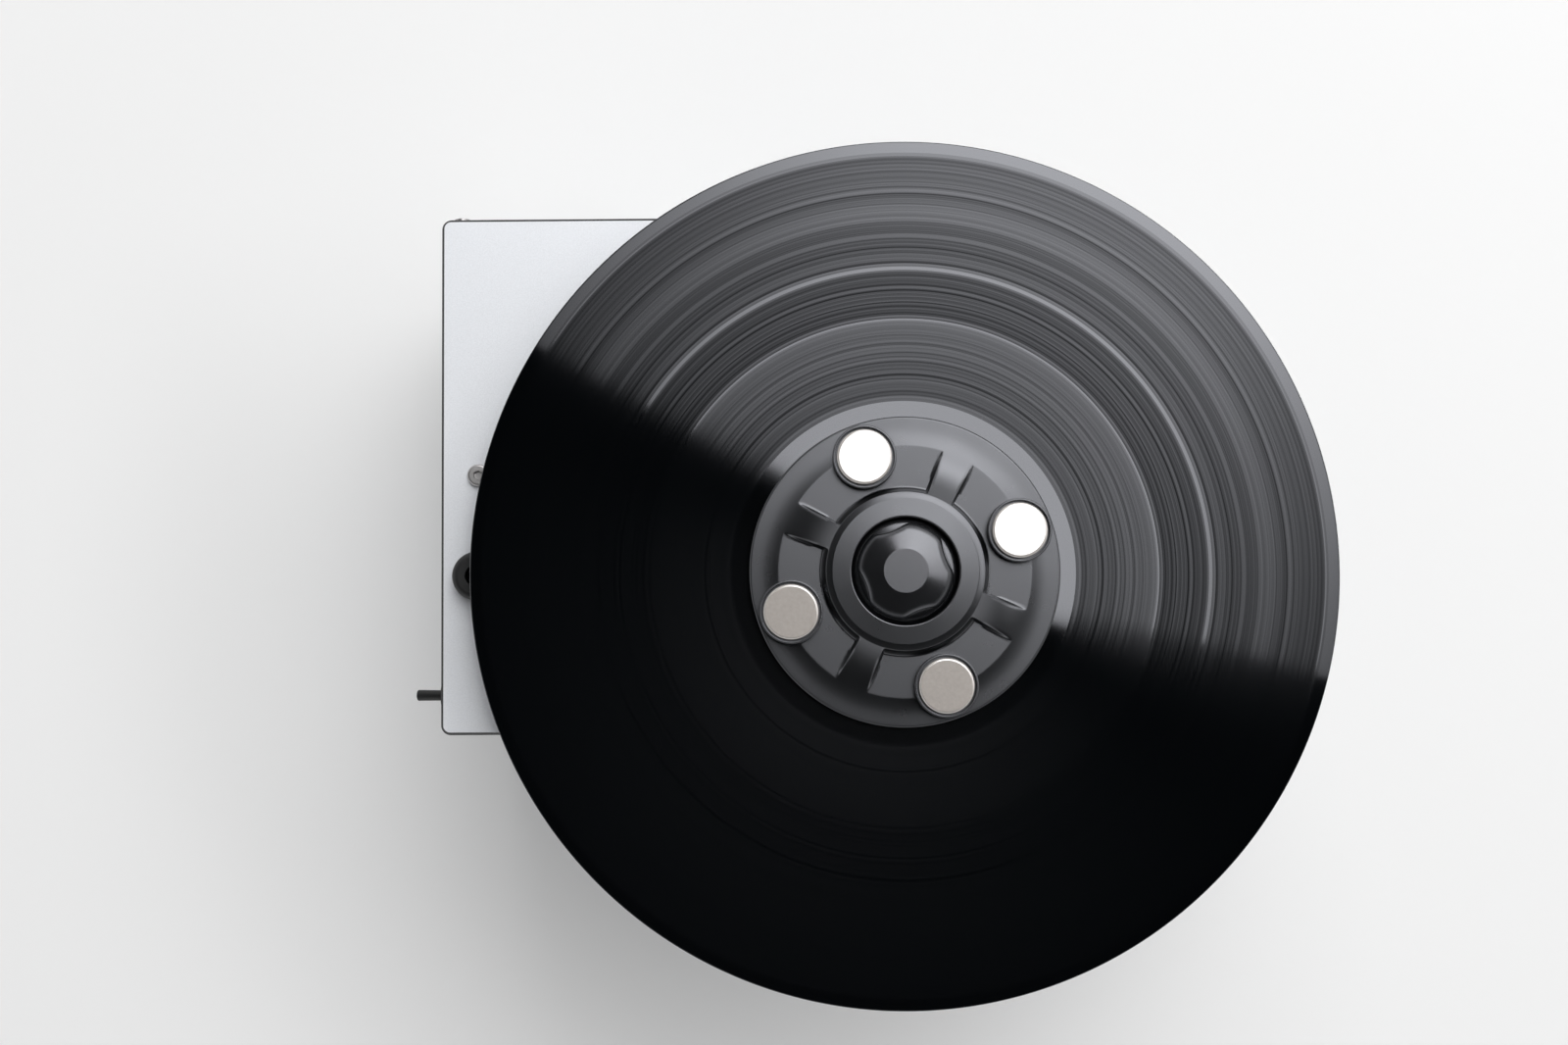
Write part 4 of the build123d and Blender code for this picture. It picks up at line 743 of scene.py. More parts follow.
@dataclass
class Repeater:
    """Repeats an object's own mesh round a ring, on a grid or along a row, as one mesh."""

    pattern: Pattern

    def tree(self) -> Any:
        """Builds the node tree of this pattern once and returns it."""
        name = f"repeat_{self.pattern.value}"
        found = bpy.data.node_groups.get(name)
        if found is not None:
            return found
        tree = bpy.data.node_groups.new(name, "GeometryNodeTree")
        wanted = [("Geometry", "Geometry"), ("Centre", "Vector"), ("Finish", "Material")]
        wanted += {
            Pattern.RING: [("Count", "Int"), ("Radius", "Float"), ("First angle", "Float")],
            Pattern.GRID: [("Pitch", "Vector")],
            Pattern.ROW: [("Count", "Int"), ("Step", "Vector")],
        }[self.pattern]
        for label, kind in wanted:
            tree.interface.new_socket(label, in_out="INPUT", socket_type=f"NodeSocket{kind}")
        tree.interface.new_socket("Geometry", in_out="OUTPUT", socket_type="NodeSocketGeometry")
        given = add_node(tree, "NodeGroupInput").outputs
        points, turn = self.places(tree, given)
        copies = add_node(tree, "GeometryNodeInstanceOnPoints", Points=points, Instance=given["Geometry"])
        if turn is not None:
            tree.links.new(turn, copies.inputs["Rotation"])
        real = add_node(tree, "GeometryNodeRealizeInstances", Geometry=copies.outputs["Instances"])
        dressed = add_node(
            tree, "GeometryNodeSetMaterial", Geometry=real.outputs["Geometry"], Material=given["Finish"]
        )
        add_node(tree, "NodeGroupOutput", Geometry=dressed.outputs["Geometry"])
        return tree

    def places(self, tree: Any, given: Any) -> tuple[Any, Any]:
        """Adds the nodes that give the copies' places.

        Args:
            tree: the node tree.
            given: the group input's sockets.

        Returns:
            The sockets with the points, and with each copy's turn or None.
        """
        if self.pattern is Pattern.RING:
            ring = add_node(tree, "GeometryNodeMeshCircle", Vertices=given["Count"], Radius=given["Radius"])
            spin = add_node(tree, "ShaderNodeCombineXYZ", Z=given["First angle"])
            moved = add_node(
                tree, "GeometryNodeTransform", Geometry=ring.outputs["Mesh"],
                Translation=given["Centre"], Rotation=spin.outputs["Vector"],
            )
            index = add_node(tree, "GeometryNodeInputIndex")
            part = add_node(
                tree, "ShaderNodeMath", {"operation": "DIVIDE"}, in0=index.outputs["Index"],
                in1=given["Count"],
            )
            angle = add_node(
                tree, "ShaderNodeMath", {"operation": "MULTIPLY_ADD"}, in0=part.outputs["Value"],
                in1=2 * math.pi, in2=given["First angle"],
            )
            turn = add_node(tree, "ShaderNodeCombineXYZ", Z=angle.outputs["Value"])
            return moved.outputs["Geometry"], turn.outputs["Vector"]
        if self.pattern is Pattern.GRID:
            parts = add_node(tree, "ShaderNodeSeparateXYZ", Vector=given["Pitch"])
            grid = add_node(
                tree, "GeometryNodeMeshGrid", Vertices_X=2, Vertices_Y=2,
                Size_X=parts.outputs["X"], Size_Y=parts.outputs["Y"],
            )
            moved = add_node(
                tree, "GeometryNodeTransform", Geometry=grid.outputs["Mesh"], Translation=given["Centre"]
            )
            return moved.outputs["Geometry"], None
        line = add_node(
            tree, "GeometryNodeMeshLine", Count=given["Count"], Start_Location=given["Centre"],
            Offset=given["Step"],
        )
        return line.outputs["Mesh"], None

    def apply(self, piece: bpy.types.Object, **values: Any) -> None:
        """Repeats a piece and leaves it as plain mesh.

        Args:
            piece: the object whose mesh is repeated.
            values: each input of the tree, by name with spaces as underscores.
        """
        tree = self.tree()
        modifier = piece.modifiers.new("repeat", "NODES")
        modifier.node_group = tree
        values["Finish"] = piece.data.materials[0]
        for item in tree.interface.items_tree:
            key = item.name.replace(" ", "_")
            if item.in_out == "INPUT" and key in values:
                modifier[item.identifier] = values[key]
        settle(piece)


# ---- Sub-assemblies ----
@dataclass
class CaseShell:
    """The folded side wrap, the top panel with its satin skin, whose black edge is painted reflection, and
    the plates.
    """

    edge_break: float = 0.25
    skin_break: float = 0.12
    plate_break: float = 0.2

    def build(self, nodes: dict[str, bpy.types.Object]) -> None:
        """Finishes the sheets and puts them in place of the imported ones."""
        black, zinc = PALETTE[Slot.BLACK_CORE], PALETTE[Slot.PLATED_STEEL]
        sheets = (
            ("side_wrap", ANODISED_SIDE, self.edge_break, Slot.SATIN_ALUMINIUM),
            # The top panel shows only as a black edge round the skin: painted reflection of the darker
            # surroundings.
            ("top_panel", black, self.edge_break, Slot.BLACK_CORE),
            ("top_skin", ANODISED_TOP, self.skin_break, Slot.SATIN_ALUMINIUM),
            ("bottom_plate", zinc, self.plate_break, Slot.PLATED_STEEL),
            ("rear_panel", zinc, self.plate_break, Slot.PLATED_STEEL),
        )
        for name, finish, edge, slot in sheets:
            wear(polished(nodes[name], finish, edge), "chassis", slot, name)


@dataclass
class FootSet:
    """Four turned rubber feet, each with its screw's counterbore, repeated on a grid."""

    top_radius: float = 11.0
    base_radius: float = 9.6
    height: float = 10.0
    bore: float = 2.05
    counterbore: float = 3.7
    rounding: float = 1.2

    def build(self) -> None:
        """Builds one foot and repeats it under the case's corners."""
        low, high = ends_of("feet")
        middle = (low + high) / 2
        profile = soften(
            [
                (self.bore, self.height / 2, 0),
                (self.counterbore, self.height / 2, 0.1),
                (self.counterbore, 0.0, 0.3),
                (self.base_radius, 0.0, self.rounding),
                (self.top_radius, self.height, 0.3),
                (self.bore, self.height, 0),
            ]
        )
        foot = stand("rubber_feet", lathe(profile, segments=64), PALETTE[Slot.RUBBER])
        pitch = (high - low) - Vector((2 * self.top_radius, 2 * self.top_radius, 0))
        Repeater(Pattern.GRID).apply(
            foot, Centre=(middle.x * MM, middle.y * MM, 0.0), Pitch=(pitch.x * MM, pitch.y * MM, 0.0)
        )
        wear(foot, "chassis", Slot.RUBBER, "feet")


@dataclass
class SuctionSocket:
    """The turned collar that the suction arm plugs into, with its stem and tail below the panel."""

    radius: float = 8.65
    height: float = 10.0
    dome: float = 2.4
    bore: float = 3.7
    bore_depth: float = 20.0
    bore_edge: float = 0.35
    stem_radius: float = 6.5
    tail_radius: float = 5.5
    tail_length: float = 12.0
    channel: float = 3.0

    def build(self, panel_top: float) -> None:
        """Turns the socket.

        Args:
            panel_top: the height of the case's top in millimetres.
        """
        low, high = ends_of("arm_socket")
        middle = (low + high) / 2
        bottom, top = low.z, high.z
        ledge = top - self.bore_depth
        profile = soften(
            [
                (self.channel, ledge, 0),
                (self.bore, ledge, 0.2),
                (self.bore, top, self.bore_edge),
                (self.radius, top, self.dome),
                (self.radius, panel_top, 0.2),
                (self.stem_radius, panel_top, 0.1),
                (self.stem_radius, bottom + self.tail_length, 0.2),
                (self.tail_radius, bottom + self.tail_length, 0.1),
                (self.tail_radius, bottom, 0.3),
                (self.channel, bottom, 0),
            ],
            steps=6,
        )
        collar = lathe(profile, (middle.x, middle.y), segments=96)
        socket = stand("suction_socket", collar, PALETTE[Slot.BLACK_PLASTIC])
        wear(socket, "chassis", Slot.BLACK_PLASTIC, "arm_socket")


@dataclass
class LidScrews:
    """The button-head screws with hexagon sockets that hold the waste tank's lid."""

    head_radius: float = 4.0
    head_height: float = 2.6
    rounding: float = 0.9
    shank_radius: float = 2.5
    socket_radius: float = 1.6
    socket_depth: float = 2.2
    socket_edge: float = 0.25
    sides: int = 48

    def hexagon(self, radius: float) -> list[Point]:
        """Gives a hexagon's outline at as many angles as the head has sides."""
        points = []
        for i in range(self.sides):
            angle = 2 * math.pi * i / self.sides
            off = (angle + math.pi / 6) % (math.pi / 3) - math.pi / 6
            reach = radius * math.cos(math.pi / 6) / math.cos(off)
            points.append((reach * math.cos(angle), reach * math.sin(angle)))
        return points

    def build(self, panel_top: float) -> None:
        """Builds one screw and repeats it along the lid.

        Args:
            panel_top: the height of the case's top in millimetres.
        """
        low, high = ends_of("tank_screws")
        top, floor = self.head_height, self.head_height - self.socket_depth
        hexes = [
            (self.hexagon(self.socket_radius), floor),
            (self.hexagon(self.socket_radius), top - self.socket_edge),
            (self.hexagon(self.socket_radius + self.socket_edge), top),
        ]
        rings = [[Vector((0, 0, floor)) * MM]]
        rings += [[Vector((x, y, height)) * MM for x, y in outline] for outline, height in hexes]
        outside = soften(
            [
                (self.socket_radius + 2 * self.socket_edge, top, 0),
                (self.head_radius, top, self.rounding),
                (self.head_radius, 0.0, 0.15),
                (self.shank_radius, 0.0, 0.1),
                (self.shank_radius, low.z - panel_top, 0),
            ],
            steps=5,
        )
        rings += [circle(radius, height, (0.0, 0.0), self.sides) for radius, height in outside]
        rings.append([Vector((0, 0, low.z - panel_top)) * MM])
        screw = stand("lid_screws", loft(rings), PALETTE[Slot.SCREW_STEEL])
        first = Vector((low.x + self.head_radius, (low.y + high.y) / 2, panel_top)) * MM
        step = (high.x - low.x - 2 * self.head_radius) * MM
        Repeater(Pattern.ROW).apply(screw, Centre=first, Count=2, Step=(step, 0.0, 0.0))
        wear(screw, "chassis", Slot.SCREW_STEEL, "tank_screws")


class Side(Enum):
    """The side of the case that a switch sits on, with the direction that it points in."""

    LEFT = -1
    RIGHT = 1


@dataclass
class ToggleSwitch:
    """A toggle switch: its body and threaded bushing, and the blunt lever."""

    name: str
    side: Side
    tilt: float
    bushing_radius: float = 4.7
    bushing_length: float = 6.0
    nut_height: float = 2.4
    thread_pitch: float = 0.75
    thread_height: float = 0.18
    thread_half: float = 0.3
    thread_root: float = 0.15
    thread_start: float = 0.6
    pivot_out: float = 1.7
    base_radius: float = 1.9
    tip_radius: float = 2.05
    reach: float = 14.75
    nub_radius: float = 0.5
    nub_height: float = 0.6
    ball_radius: float = 2.6
    ball_steps: int = 12
    bar_lead: float = 0.1
    nub_flare: float = 0.15
    edge_break: float = 0.15

    def build(self, nodes: dict[str, bpy.types.Object], case_side: float) -> None:
        """Finishes the switch and builds its thread and lever.

        Args:
            nodes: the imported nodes.
            case_side: the X of the case's side wall in millimetres.
        """
        black = PALETTE[Slot.BLACK_PLASTIC]
        switch = f"{self.name}_switch"
        wear(polished(nodes[switch], black, self.edge_break), "chassis", Slot.BLACK_PLASTIC, switch)
        middle = middle_of(switch)
        out = Vector((self.side.value, 0.0, 0.0))
        self.build_thread(Vector((case_side, middle.y, middle.z)), out)
        self.build_lever(Vector((case_side, middle.y, middle.z)) + out * self.pivot_out, out)

    def along(self, mesh: bmesh.types.BMesh, start: Vector, way: Vector) -> None:
        """Moves a turned mesh so that its axis starts at a point and runs in a direction."""
        turn = Vector((0, 0, 1)).rotation_difference(way).to_matrix().to_4x4()
        mesh.transform(Matrix.Translation(start * MM) @ turn)

    def build_thread(self, root: Vector, out: Vector) -> None:
        """Repeats one thread ridge along the bushing, outside the nut."""
        root_radius, half = self.bushing_radius - self.thread_root, self.thread_half
        ridge = [
            (root_radius, -half),
            (self.bushing_radius, -half),
            (self.bushing_radius + self.thread_height, 0.0),
            (self.bushing_radius, half),
            (root_radius, half),
        ]
        mesh = lathe(ridge, segments=32)
        self.along(mesh, Vector((0, 0, 0)), out)
        thread = stand(f"{self.name}_switch_thread", mesh, PALETTE[Slot.BLACK_PLASTIC])
        count = int((self.bushing_length - self.nut_height) / self.thread_pitch)
        first = (root + out * (self.nut_height + self.thread_start * self.thread_pitch)) * MM
        Repeater(Pattern.ROW).apply(thread, Centre=first, Count=count, Step=out * self.thread_pitch * MM)
        wear(thread, "chassis", Slot.BLACK_PLASTIC)

    def build_lever(self, pivot: Vector, out: Vector) -> None:
        """Turns the lever: a ball at the pivot and a blunt bar with a nub on its end."""
        tilt = math.radians(self.tilt)
        way = Vector((out.x * math.cos(tilt), 0.0, math.sin(tilt)))
        ball, tip = self.ball_radius, self.tip_radius
        meet = math.acos(self.base_radius / ball)
        profile: list[Point] = [(0.0, -ball)]
        for i in range(1, self.ball_steps + 1):
            angle = -math.pi / 2 + (math.pi / 2 + meet) * i / self.ball_steps
            profile.append((ball * math.cos(angle), ball * math.sin(angle)))
        blunt = self.reach - self.nub_height
        profile += soften(
            [
                (self.base_radius, ball * math.sin(meet) + self.bar_lead, 0),
                (tip, blunt, 0.25),
                (self.nub_radius + self.nub_flare, blunt, 0.1),
                (self.nub_radius, self.reach, 0.3),
                (0.0, self.reach, 0),
            ]
        )
        mesh = lathe(profile, segments=40)
        self.along(mesh, pivot, way)
        lever = f"{self.name}_lever"
        bar = stand(f"{lever}_bat", mesh, PALETTE[Slot.BLACK_PLASTIC], sharp=50)
        wear(bar, lever, Slot.BLACK_PLASTIC, lever)


@dataclass
class Platter:
    """The label-sized platter and its rubber mat."""

    edge_break: float = 0.35
    mat_break: float = 0.4

    def build(self, nodes: dict[str, bpy.types.Object]) -> None:
        """Finishes the platter and mat as smooth turned pieces."""
        turned = (
            ("platter", Slot.BLACK_PLASTIC, self.edge_break),
            ("platter_mat", Slot.RUBBER, self.mat_break),
        )
        for name, slot, edge in turned:
            wear(polished(nodes[name], PALETTE[slot], edge), "platter", slot, name)


@dataclass
class Record:
    """A twelve-inch long-playing record with its lead-in, tracks, gaps and dead wax."""

    radius: float = 150.9
    hole: float = 3.62
    edge_round: float = 0.5
    groove_outer: float = 146.2
    groove_inner: float = 59.8
    groove_step: float = 0.02
    step_run: float = 0.4
    step_guard: float = 0.12
    label_radius: float = 50.0
    label_thickness: float = 0.1
    label_gap: float = 0.05
    face_margin: float = 0.2
    bands: tuple[GrooveBand, ...] = tuple(
        GrooveBand(outer, cut)
        for outer, cut in (
            (59.5, 0), (61, 0.57), (63, 0.72), (68.3, 0.66), (69.6, 0.79), (72.5, 0.66),
            (73.5, 0.79), (83.5, 0.63), (86.5, 0.57), (87.6, 0.48), (88.5, 0.08), (89.6, 0.63),
            (92.5, 0.79), (104.6, 0.75), (105.5, 0.52), (106.6, 0.05), (107.6, 0.51), (109.5, 0.71),
            (111.5, 0.61), (116.6, 0.73), (117.5, 0.53), (122.6, 0.68), (128.6, 0.51), (130.5, 0.58),
            (132.6, 0.68), (134.5, 0.51), (138.5, 0.6), (145.6, 0.61), (146.5, 0.21), (151.1, 0),
        )
    )

    def build(self) -> None:
        """Turns the record on its spindle's axis."""
        low, high = ends_of("record")
        middle = (low + high) / 2
        top, bottom = high.z, low.z
        step, label, guard = self.groove_step, self.label_thickness, self.step_guard
        upper = [
            (self.hole, top - label, 0.05),
            (self.label_radius, top - label, 0),
            (self.label_radius + self.label_gap, top, 0),
            (self.groove_inner - guard, top, 0),
            (self.groove_inner, top, 0),
            (self.groove_inner + self.step_run, top - step, 0),
            (self.groove_inner + self.step_run + guard, top - step, 0),
            (self.groove_outer - self.step_run - guard, top - step, 0),
            (self.groove_outer - self.step_run, top - step, 0),
            (self.groove_outer, top, 0),
            (self.groove_outer + guard, top, 0),
            (self.radius, top, self.edge_round),
        ]
        lower = [(radius, bottom + top - height, bend) for radius, height, bend in reversed(upper)]
        profile = soften(upper + lower, steps=8)
        vinyl = PressedVinyl(
            "pressed_vinyl", "010203", 0.06, ior=1.55, specular=0.76, sheen=COOL_BLACK, centre_x=middle.x,
            centre_y=middle.y, face_radius=self.radius + self.face_margin, bands=self.bands,
        )
        disc = stand("record_disc", lathe(profile, (middle.x, middle.y), segments=360), vinyl, sharp=30)
        wear(disc, "record", Slot.VINYL, "record")


@dataclass
class Clamp:
    """The moulded screw-down clamp: ring, four spokes, four sunk pads and four weight cups.

    Heights are above the record's top face. The spokes sweep down like a bell to an all but level
    rim, and the pads between them lie flat.
    """

    radius: float = 53.4
    wall: float = 2.5
    rim_height: float = 8.6
    rim_round: float = 0.8
    rim_run: float = 1.6
    seal_height: float = 2.0
    seal_start: float = 1.0
    seal_inner: float = 49.9
    seal_outer: float = 53.3
    flare_inner: float = 27.0
    flare_height: float = 16.0
    toe_start: float = 49.5
    toe_run: float = 23.0
    rim_slope: float = 0.02
    pad_outer: float = 43.5
    ring_flat: float = 24.9
    ring_height: float = 16.6
    ring_fall: float = 0.4
    ring_hole: float = 18.4
    ring_lead: Point = (0.05, 0.03)
    floor_top: float = 10.5
    floor_bottom: float = 7.9
    gutter_inner: float = 15.4
    gutter_floor: float = 8.8
    hub_bore: float = 7.1
    spoke_angle: float = 64.4
    spoke_inner: float = 9.6
    spoke_outer: float = 11.5
    spoke_wall: float = 1.0
    ring_wall: float = 1.9
    disc_circle: float = 41.35
    disc_angle: float = 19.3
    disc_radius: float = 9.5
    disc_round: float = 0.85
    disc_top: float = 15.6
    cup_radius: float = 10.9
    cup_top: float = 15.1
    cup_foot: float = 7.6
    cup_groove: float = 0.6
    seat: float = 12.6
    top_columns: int = 5
    wall_columns: int = 7
    pad_columns: int = 30
    wall_rings: int = 7
    flare_rings: tuple[float, ...] = (
        29.4, 30.6, 32, 34, 36, 38, 40, 42, 43, 43.4, 43.6, 44, 45, 46, 47, 48, 49, 50.5,
    )

    def flare(self, radius: float) -> float:
        """Gives the bell's height at a radius: a level rim and a slope that grows inwards."""
        rise = self.flare_height - self.rim_height - self.rim_slope * (self.radius - self.flare_inner)
        slope = rise / (self.toe_start - self.flare_inner - self.toe_run / 2)
        inward = max(0.0, self.toe_start - radius)
        bent = min(inward, self.toe_run)
        lift = slope * (bent**2 / (2 * self.toe_run) + inward - bent)
        return self.rim_height + self.rim_slope * (self.radius - radius) + lift

    @staticmethod
    def ease(share: float) -> float:
        """Gives a smooth step from 0 to 1."""
        share = min(1.0, max(0.0, share))
        return share * share * (3 - 2 * share)

    def columns(self, radius: float) -> list[Point]:
        """Gives the angles of one ring's points, set so that columns follow the spokes' walls.

        Args:
            radius: the ring's radius.

        Returns:
            (angle in radians, share of the spoke's height) for each column.
        """
        near = min(max(radius, self.flare_inner), self.pad_outer)
        share = (near - self.flare_inner) / (self.pad_outer - self.flare_inner)
        half_width = (self.spoke_inner + (self.spoke_outer - self.spoke_inner) * share) / 2
        reach = max(radius, self.flare_inner)
        wall = self.spoke_wall / reach
        inner = math.asin(half_width / reach) - wall / 2
        crown, drop, flat = self.top_columns, self.wall_columns, self.pad_columns
        half: list[Point] = [(inner * i / crown, 1.0) for i in range(crown)]
        half += [(inner + wall * i / drop, 1.0 - self.ease(i / drop)) for i in range(drop + 1)]
        outer = inner + wall
        half += [(outer + (math.pi / 4 - outer) * i / flat, 0.0) for i in range(1, flat + 1)]
        quarter = half + [(math.pi / 2 - angle, share) for angle, share in reversed(half[1:-1])]
        start = math.radians(self.spoke_angle)
        turns = (start + turn * math.pi / 2 for turn in range(4))
        return [(turn + angle, share) for turn in turns for angle, share in quarter]

    def build_body(self, x: float, y: float, base: float) -> None:
        """Lofts the body: a shell whose rings follow the spokes and pads."""
        pad = self.flare(self.pad_outer)
        cavity = pad - self.wall
        inside = soften(
            [
                (self.hub_bore, self.floor_top, 0),
                (self.gutter_inner, self.floor_top, 0.2),
                ((self.gutter_inner + self.ring_hole) / 2, self.gutter_floor, 0.2),
                (self.ring_hole, self.floor_top, 0.2),
                (self.ring_hole, self.ring_height + self.ring_fall, 0.45),
                (self.ring_flat, self.ring_height, 1.0),
                (self.flare_inner - self.ring_lead[0], self.flare_height + self.ring_lead[1], 0),
            ],
            steps=5,
        )
        rim_start = self.radius - self.rim_run
        outside = soften(
            [
                (rim_start, self.flare(rim_start), 0),
                (self.radius, self.rim_height, self.rim_round),
                (self.radius, self.seal_height, 0.2),
                (self.radius - self.wall, self.seal_height, 0.1),
                (self.radius - self.wall, self.rim_height - self.wall, 0.5),
                (self.pad_outer, cavity, 0.5),
                (self.flare_inner, cavity, 0.5),
                (self.flare_inner - 2 * self.wall, self.floor_bottom, 0.5),
                (self.hub_bore, self.floor_bottom, 0),
            ],
            steps=5,
        )
        count = self.wall_rings
        steps = [self.flare_inner + self.ring_wall * i / count for i in range(count + 1)]
        steps += self.flare_rings
        rings = []
        for radius, height in inside:
            rings.append([(radius, height, angle) for angle, _ in self.columns(radius)])
        for radius in steps:
            wall = 1.0 - self.ease((radius - self.flare_inner) / self.ring_wall)
            slope = self.flare(radius)
            ring = []
            for angle, share in self.columns(radius):
                raised = 1.0 - (1.0 - share) * (1.0 - wall)
                height = slope if radius >= self.pad_outer else pad + (slope - pad) * raised
                ring.append((radius, height, angle))
            rings.append(ring)
        for radius, height in outside:
            rings.append([(radius, height, angle) for angle, _ in self.columns(radius)])
        placed = [
            [Vector((x + r * math.cos(a), y + r * math.sin(a), base + h)) * MM for r, h, a in ring]
            for ring in rings
        ]
        body = stand("clamp_shell", loft(placed, ring_shaped=True), MOULDED_CHARCOAL, sharp=50)
        wear(body, "clamp", Slot.BLACK_PLASTIC, "clamp_body")

    def repeat_round(self, piece: bpy.types.Object, x: float, y: float, base: float) -> None:
        """Repeats a weight or cup round the clamp."""
        Repeater(Pattern.RING).apply(
            piece, Centre=Vector((x, y, base)) * MM, Count=4, Radius=self.disc_circle * MM,
            First_angle=math.radians(self.disc_angle),
        )

    def build(self) -> None:
        """Builds the clamp's body, cups, weights and seal."""
        low, _ = ends_of("clamp_seal")
        middle = middle_of("clamp_seal")
        x, y, base = middle.x, middle.y, low.z
        self.build_body(x, y, base)
        cup = soften(
            [
                (0.0, self.cup_foot, 0),
                (self.cup_radius, self.cup_foot, 0),
                (self.cup_radius, self.cup_top, 0.4),
                (self.disc_radius + self.cup_groove, self.cup_top, 0.2),
                (self.disc_radius + self.cup_groove, self.seat, 0.1),
                (0.0, self.seat, 0),
            ]
        )
        cups = stand("weight_cups", lathe(cup, segments=72), MOULDED_CHARCOAL)
        self.repeat_round(cups, x, y, base)
        wear(cups, "clamp", Slot.BLACK_PLASTIC)
        weight = soften(
            [
                (0.0, self.seat, 0),
                (self.disc_radius, self.seat, 0.2),
                (self.disc_radius, self.disc_top, self.disc_round),
                (0.0, self.disc_top, 0),
            ],
            steps=6,
        )
        weights = stand("clamp_weights", lathe(weight, segments=96), SATIN_NICKEL, sharp=25)
        self.repeat_round(weights, x, y, base)
        wear(weights, "clamp", Slot.NICKEL, "clamp_discs")
        seal = soften(
            [
                (self.seal_inner, 0.0, 0),
                (self.seal_outer, 0.0, 0.5),
                (self.seal_outer, self.seal_height, 0.2),
                (self.seal_inner, self.seal_height, 0.2),
                (self.seal_inner, self.seal_start, 0),
            ]
        )
        rubber = lathe([(r, base + h) for r, h in seal], (x, y), segments=128)
        wear(stand("clamp_lip", rubber, PALETTE[Slot.RUBBER]), "clamp", Slot.RUBBER, "clamp_seal")


@dataclass
class ClampKnob:
    """The polished knob: a flat face and a cone with four shallow scallops round its edge."""

    face_radius: float = 7.6
    top: float = 18.4
    shoulder_radius: float = 16.4
    shoulder_height: float = 15.0
    flange_radius: float = 16.6
    scallop_depth: float = 0.5
    flange_bottom: float = 10.6
    hub_radius: float = 7.0
    hub_bottom: float = 3.0
    scallop_radius: float = 19.3
    scallop_middle: float = 14.1
    first_scallop: float = 19.3
    scallop_blend: float = 0.5
    face_round: float = 0.9
    face_run: Point = (3.0, 1.5)
    edge_turn: float = 0.18
    insert_radius: float = 4.6
    insert_height: float = 10.4
    foot_run: float = 0.1
    rim_land: float = 0.35
    rim_lead: float = 0.2
    rim_round: float = 0.08
    sides: int = 288

    def outline(self, angle: float) -> float:
        """Gives the radius of the scalloped shoulder at an angle, with its corners rounded."""
        off = (angle - math.radians(self.first_scallop) + math.pi / 4) % (math.pi / 2) - math.pi / 4
        away = self.scallop_middle + self.scallop_radius
        under = self.scallop_radius**2 - (away * math.sin(off)) ** 2
        if under <= 0:
            return self.shoulder_radius
        cut = away * math.cos(off) - math.sqrt(under)
        gap = (self.shoulder_radius - cut) / self.scallop_blend
        blend = self.scallop_blend / 4 * max(0.0, 1.0 - abs(gap)) ** 2
        return min(self.shoulder_radius, cut) - blend

    def build(self) -> None:
        """Lofts the knob from rings that follow its scallops."""
        middle = middle_of("clamp_knob")
        base = ends_of("record")[1].z
        slope = (self.top - self.shoulder_height) / (self.shoulder_radius - self.face_radius)
        angles = [2 * math.pi * i / self.sides for i in range(self.sides)]
        edges = [self.outline(angle) for angle in angles]
        rings: list[list[Vector]] = []

        def ring(radii: Iterable[float], heights: Iterable[float]) -> None:
            """Adds one ring, from its radii and heights."""
            rings.append(
                [
                    Vector((middle.x + r * math.cos(a), middle.y + r * math.sin(a), base + h)) * MM
                    for r, h, a in zip(radii, heights, angles)
                ]
            )

        rings.append([Vector((middle.x, middle.y, base + self.top)) * MM])
        inward, outward = self.face_run
        start = self.face_radius + outward
        round_face = soften(
            [
                (self.face_radius - inward, self.top, 0),
                (self.face_radius, self.top, self.face_round),
                (start, self.top - outward * slope, 0),
            ]
        )
        for radius, height in round_face:
            ring([radius] * self.sides, [height] * self.sides)
        turn = self.edge_turn
        for share in (0.35, 0.7, 1.0):
            radii = [start + (edge - turn - start) * share for edge in edges]
            ring(radii, [self.top - slope * (r - self.face_radius) for r in radii])
        crown = [self.top - slope * (edge - self.face_radius) for edge in edges]
        for degrees in (25, 50, 70, 90):
            swing = math.radians(degrees)
            radii = [edge - turn * (1 - math.sin(swing)) for edge in edges]
            ring(radii, [c - turn * (1 - math.cos(swing)) for c in crown])
        foot = [c - self.scallop_depth for c in crown]
        ring(edges, [f + self.foot_run for f in foot])
        ring([edge + 0.5 * self.foot_run for edge in edges], [f + 0.3 * self.foot_run for f in foot])
        rim = self.flange_radius
        starts = [edge + self.foot_run for edge in edges]
        outer = [max(first, rim - self.rim_land) for first in starts]
        rim_height = self.top - slope * (rim - self.face_radius) - self.scallop_depth
        for share in (0.1, 0.5, 1.0):
            radii = [first + (last - first) * share for first, last in zip(starts, outer)]
            ring(radii, [rim_height + slope * (rim - r) for r in radii])
        for radius, height in soften(
            [
                (rim - self.rim_lead, rim_height + self.rim_lead * slope, 0),
                (rim, rim_height, self.rim_round),
                (rim, self.flange_bottom, 0.2),
                (self.hub_radius, self.flange_bottom, 0.3),
                (self.hub_radius, self.hub_bottom, 0.3),
                (self.insert_radius, self.hub_bottom, 0),
            ]
        ):
            ring([radius] * self.sides, [height] * self.sides)
        insert_top = self.hub_bottom + self.insert_height
        ring([self.insert_radius] * self.sides, [insert_top] * self.sides)
        rings.append([Vector((middle.x, middle.y, base + insert_top)) * MM])
        knob = stand("clamp_knob_cap", loft(rings), POLISHED_BLACK, sharp=50)
        wear(knob, "clamp_knob", Slot.GLOSS_BLACK, "clamp_knob")


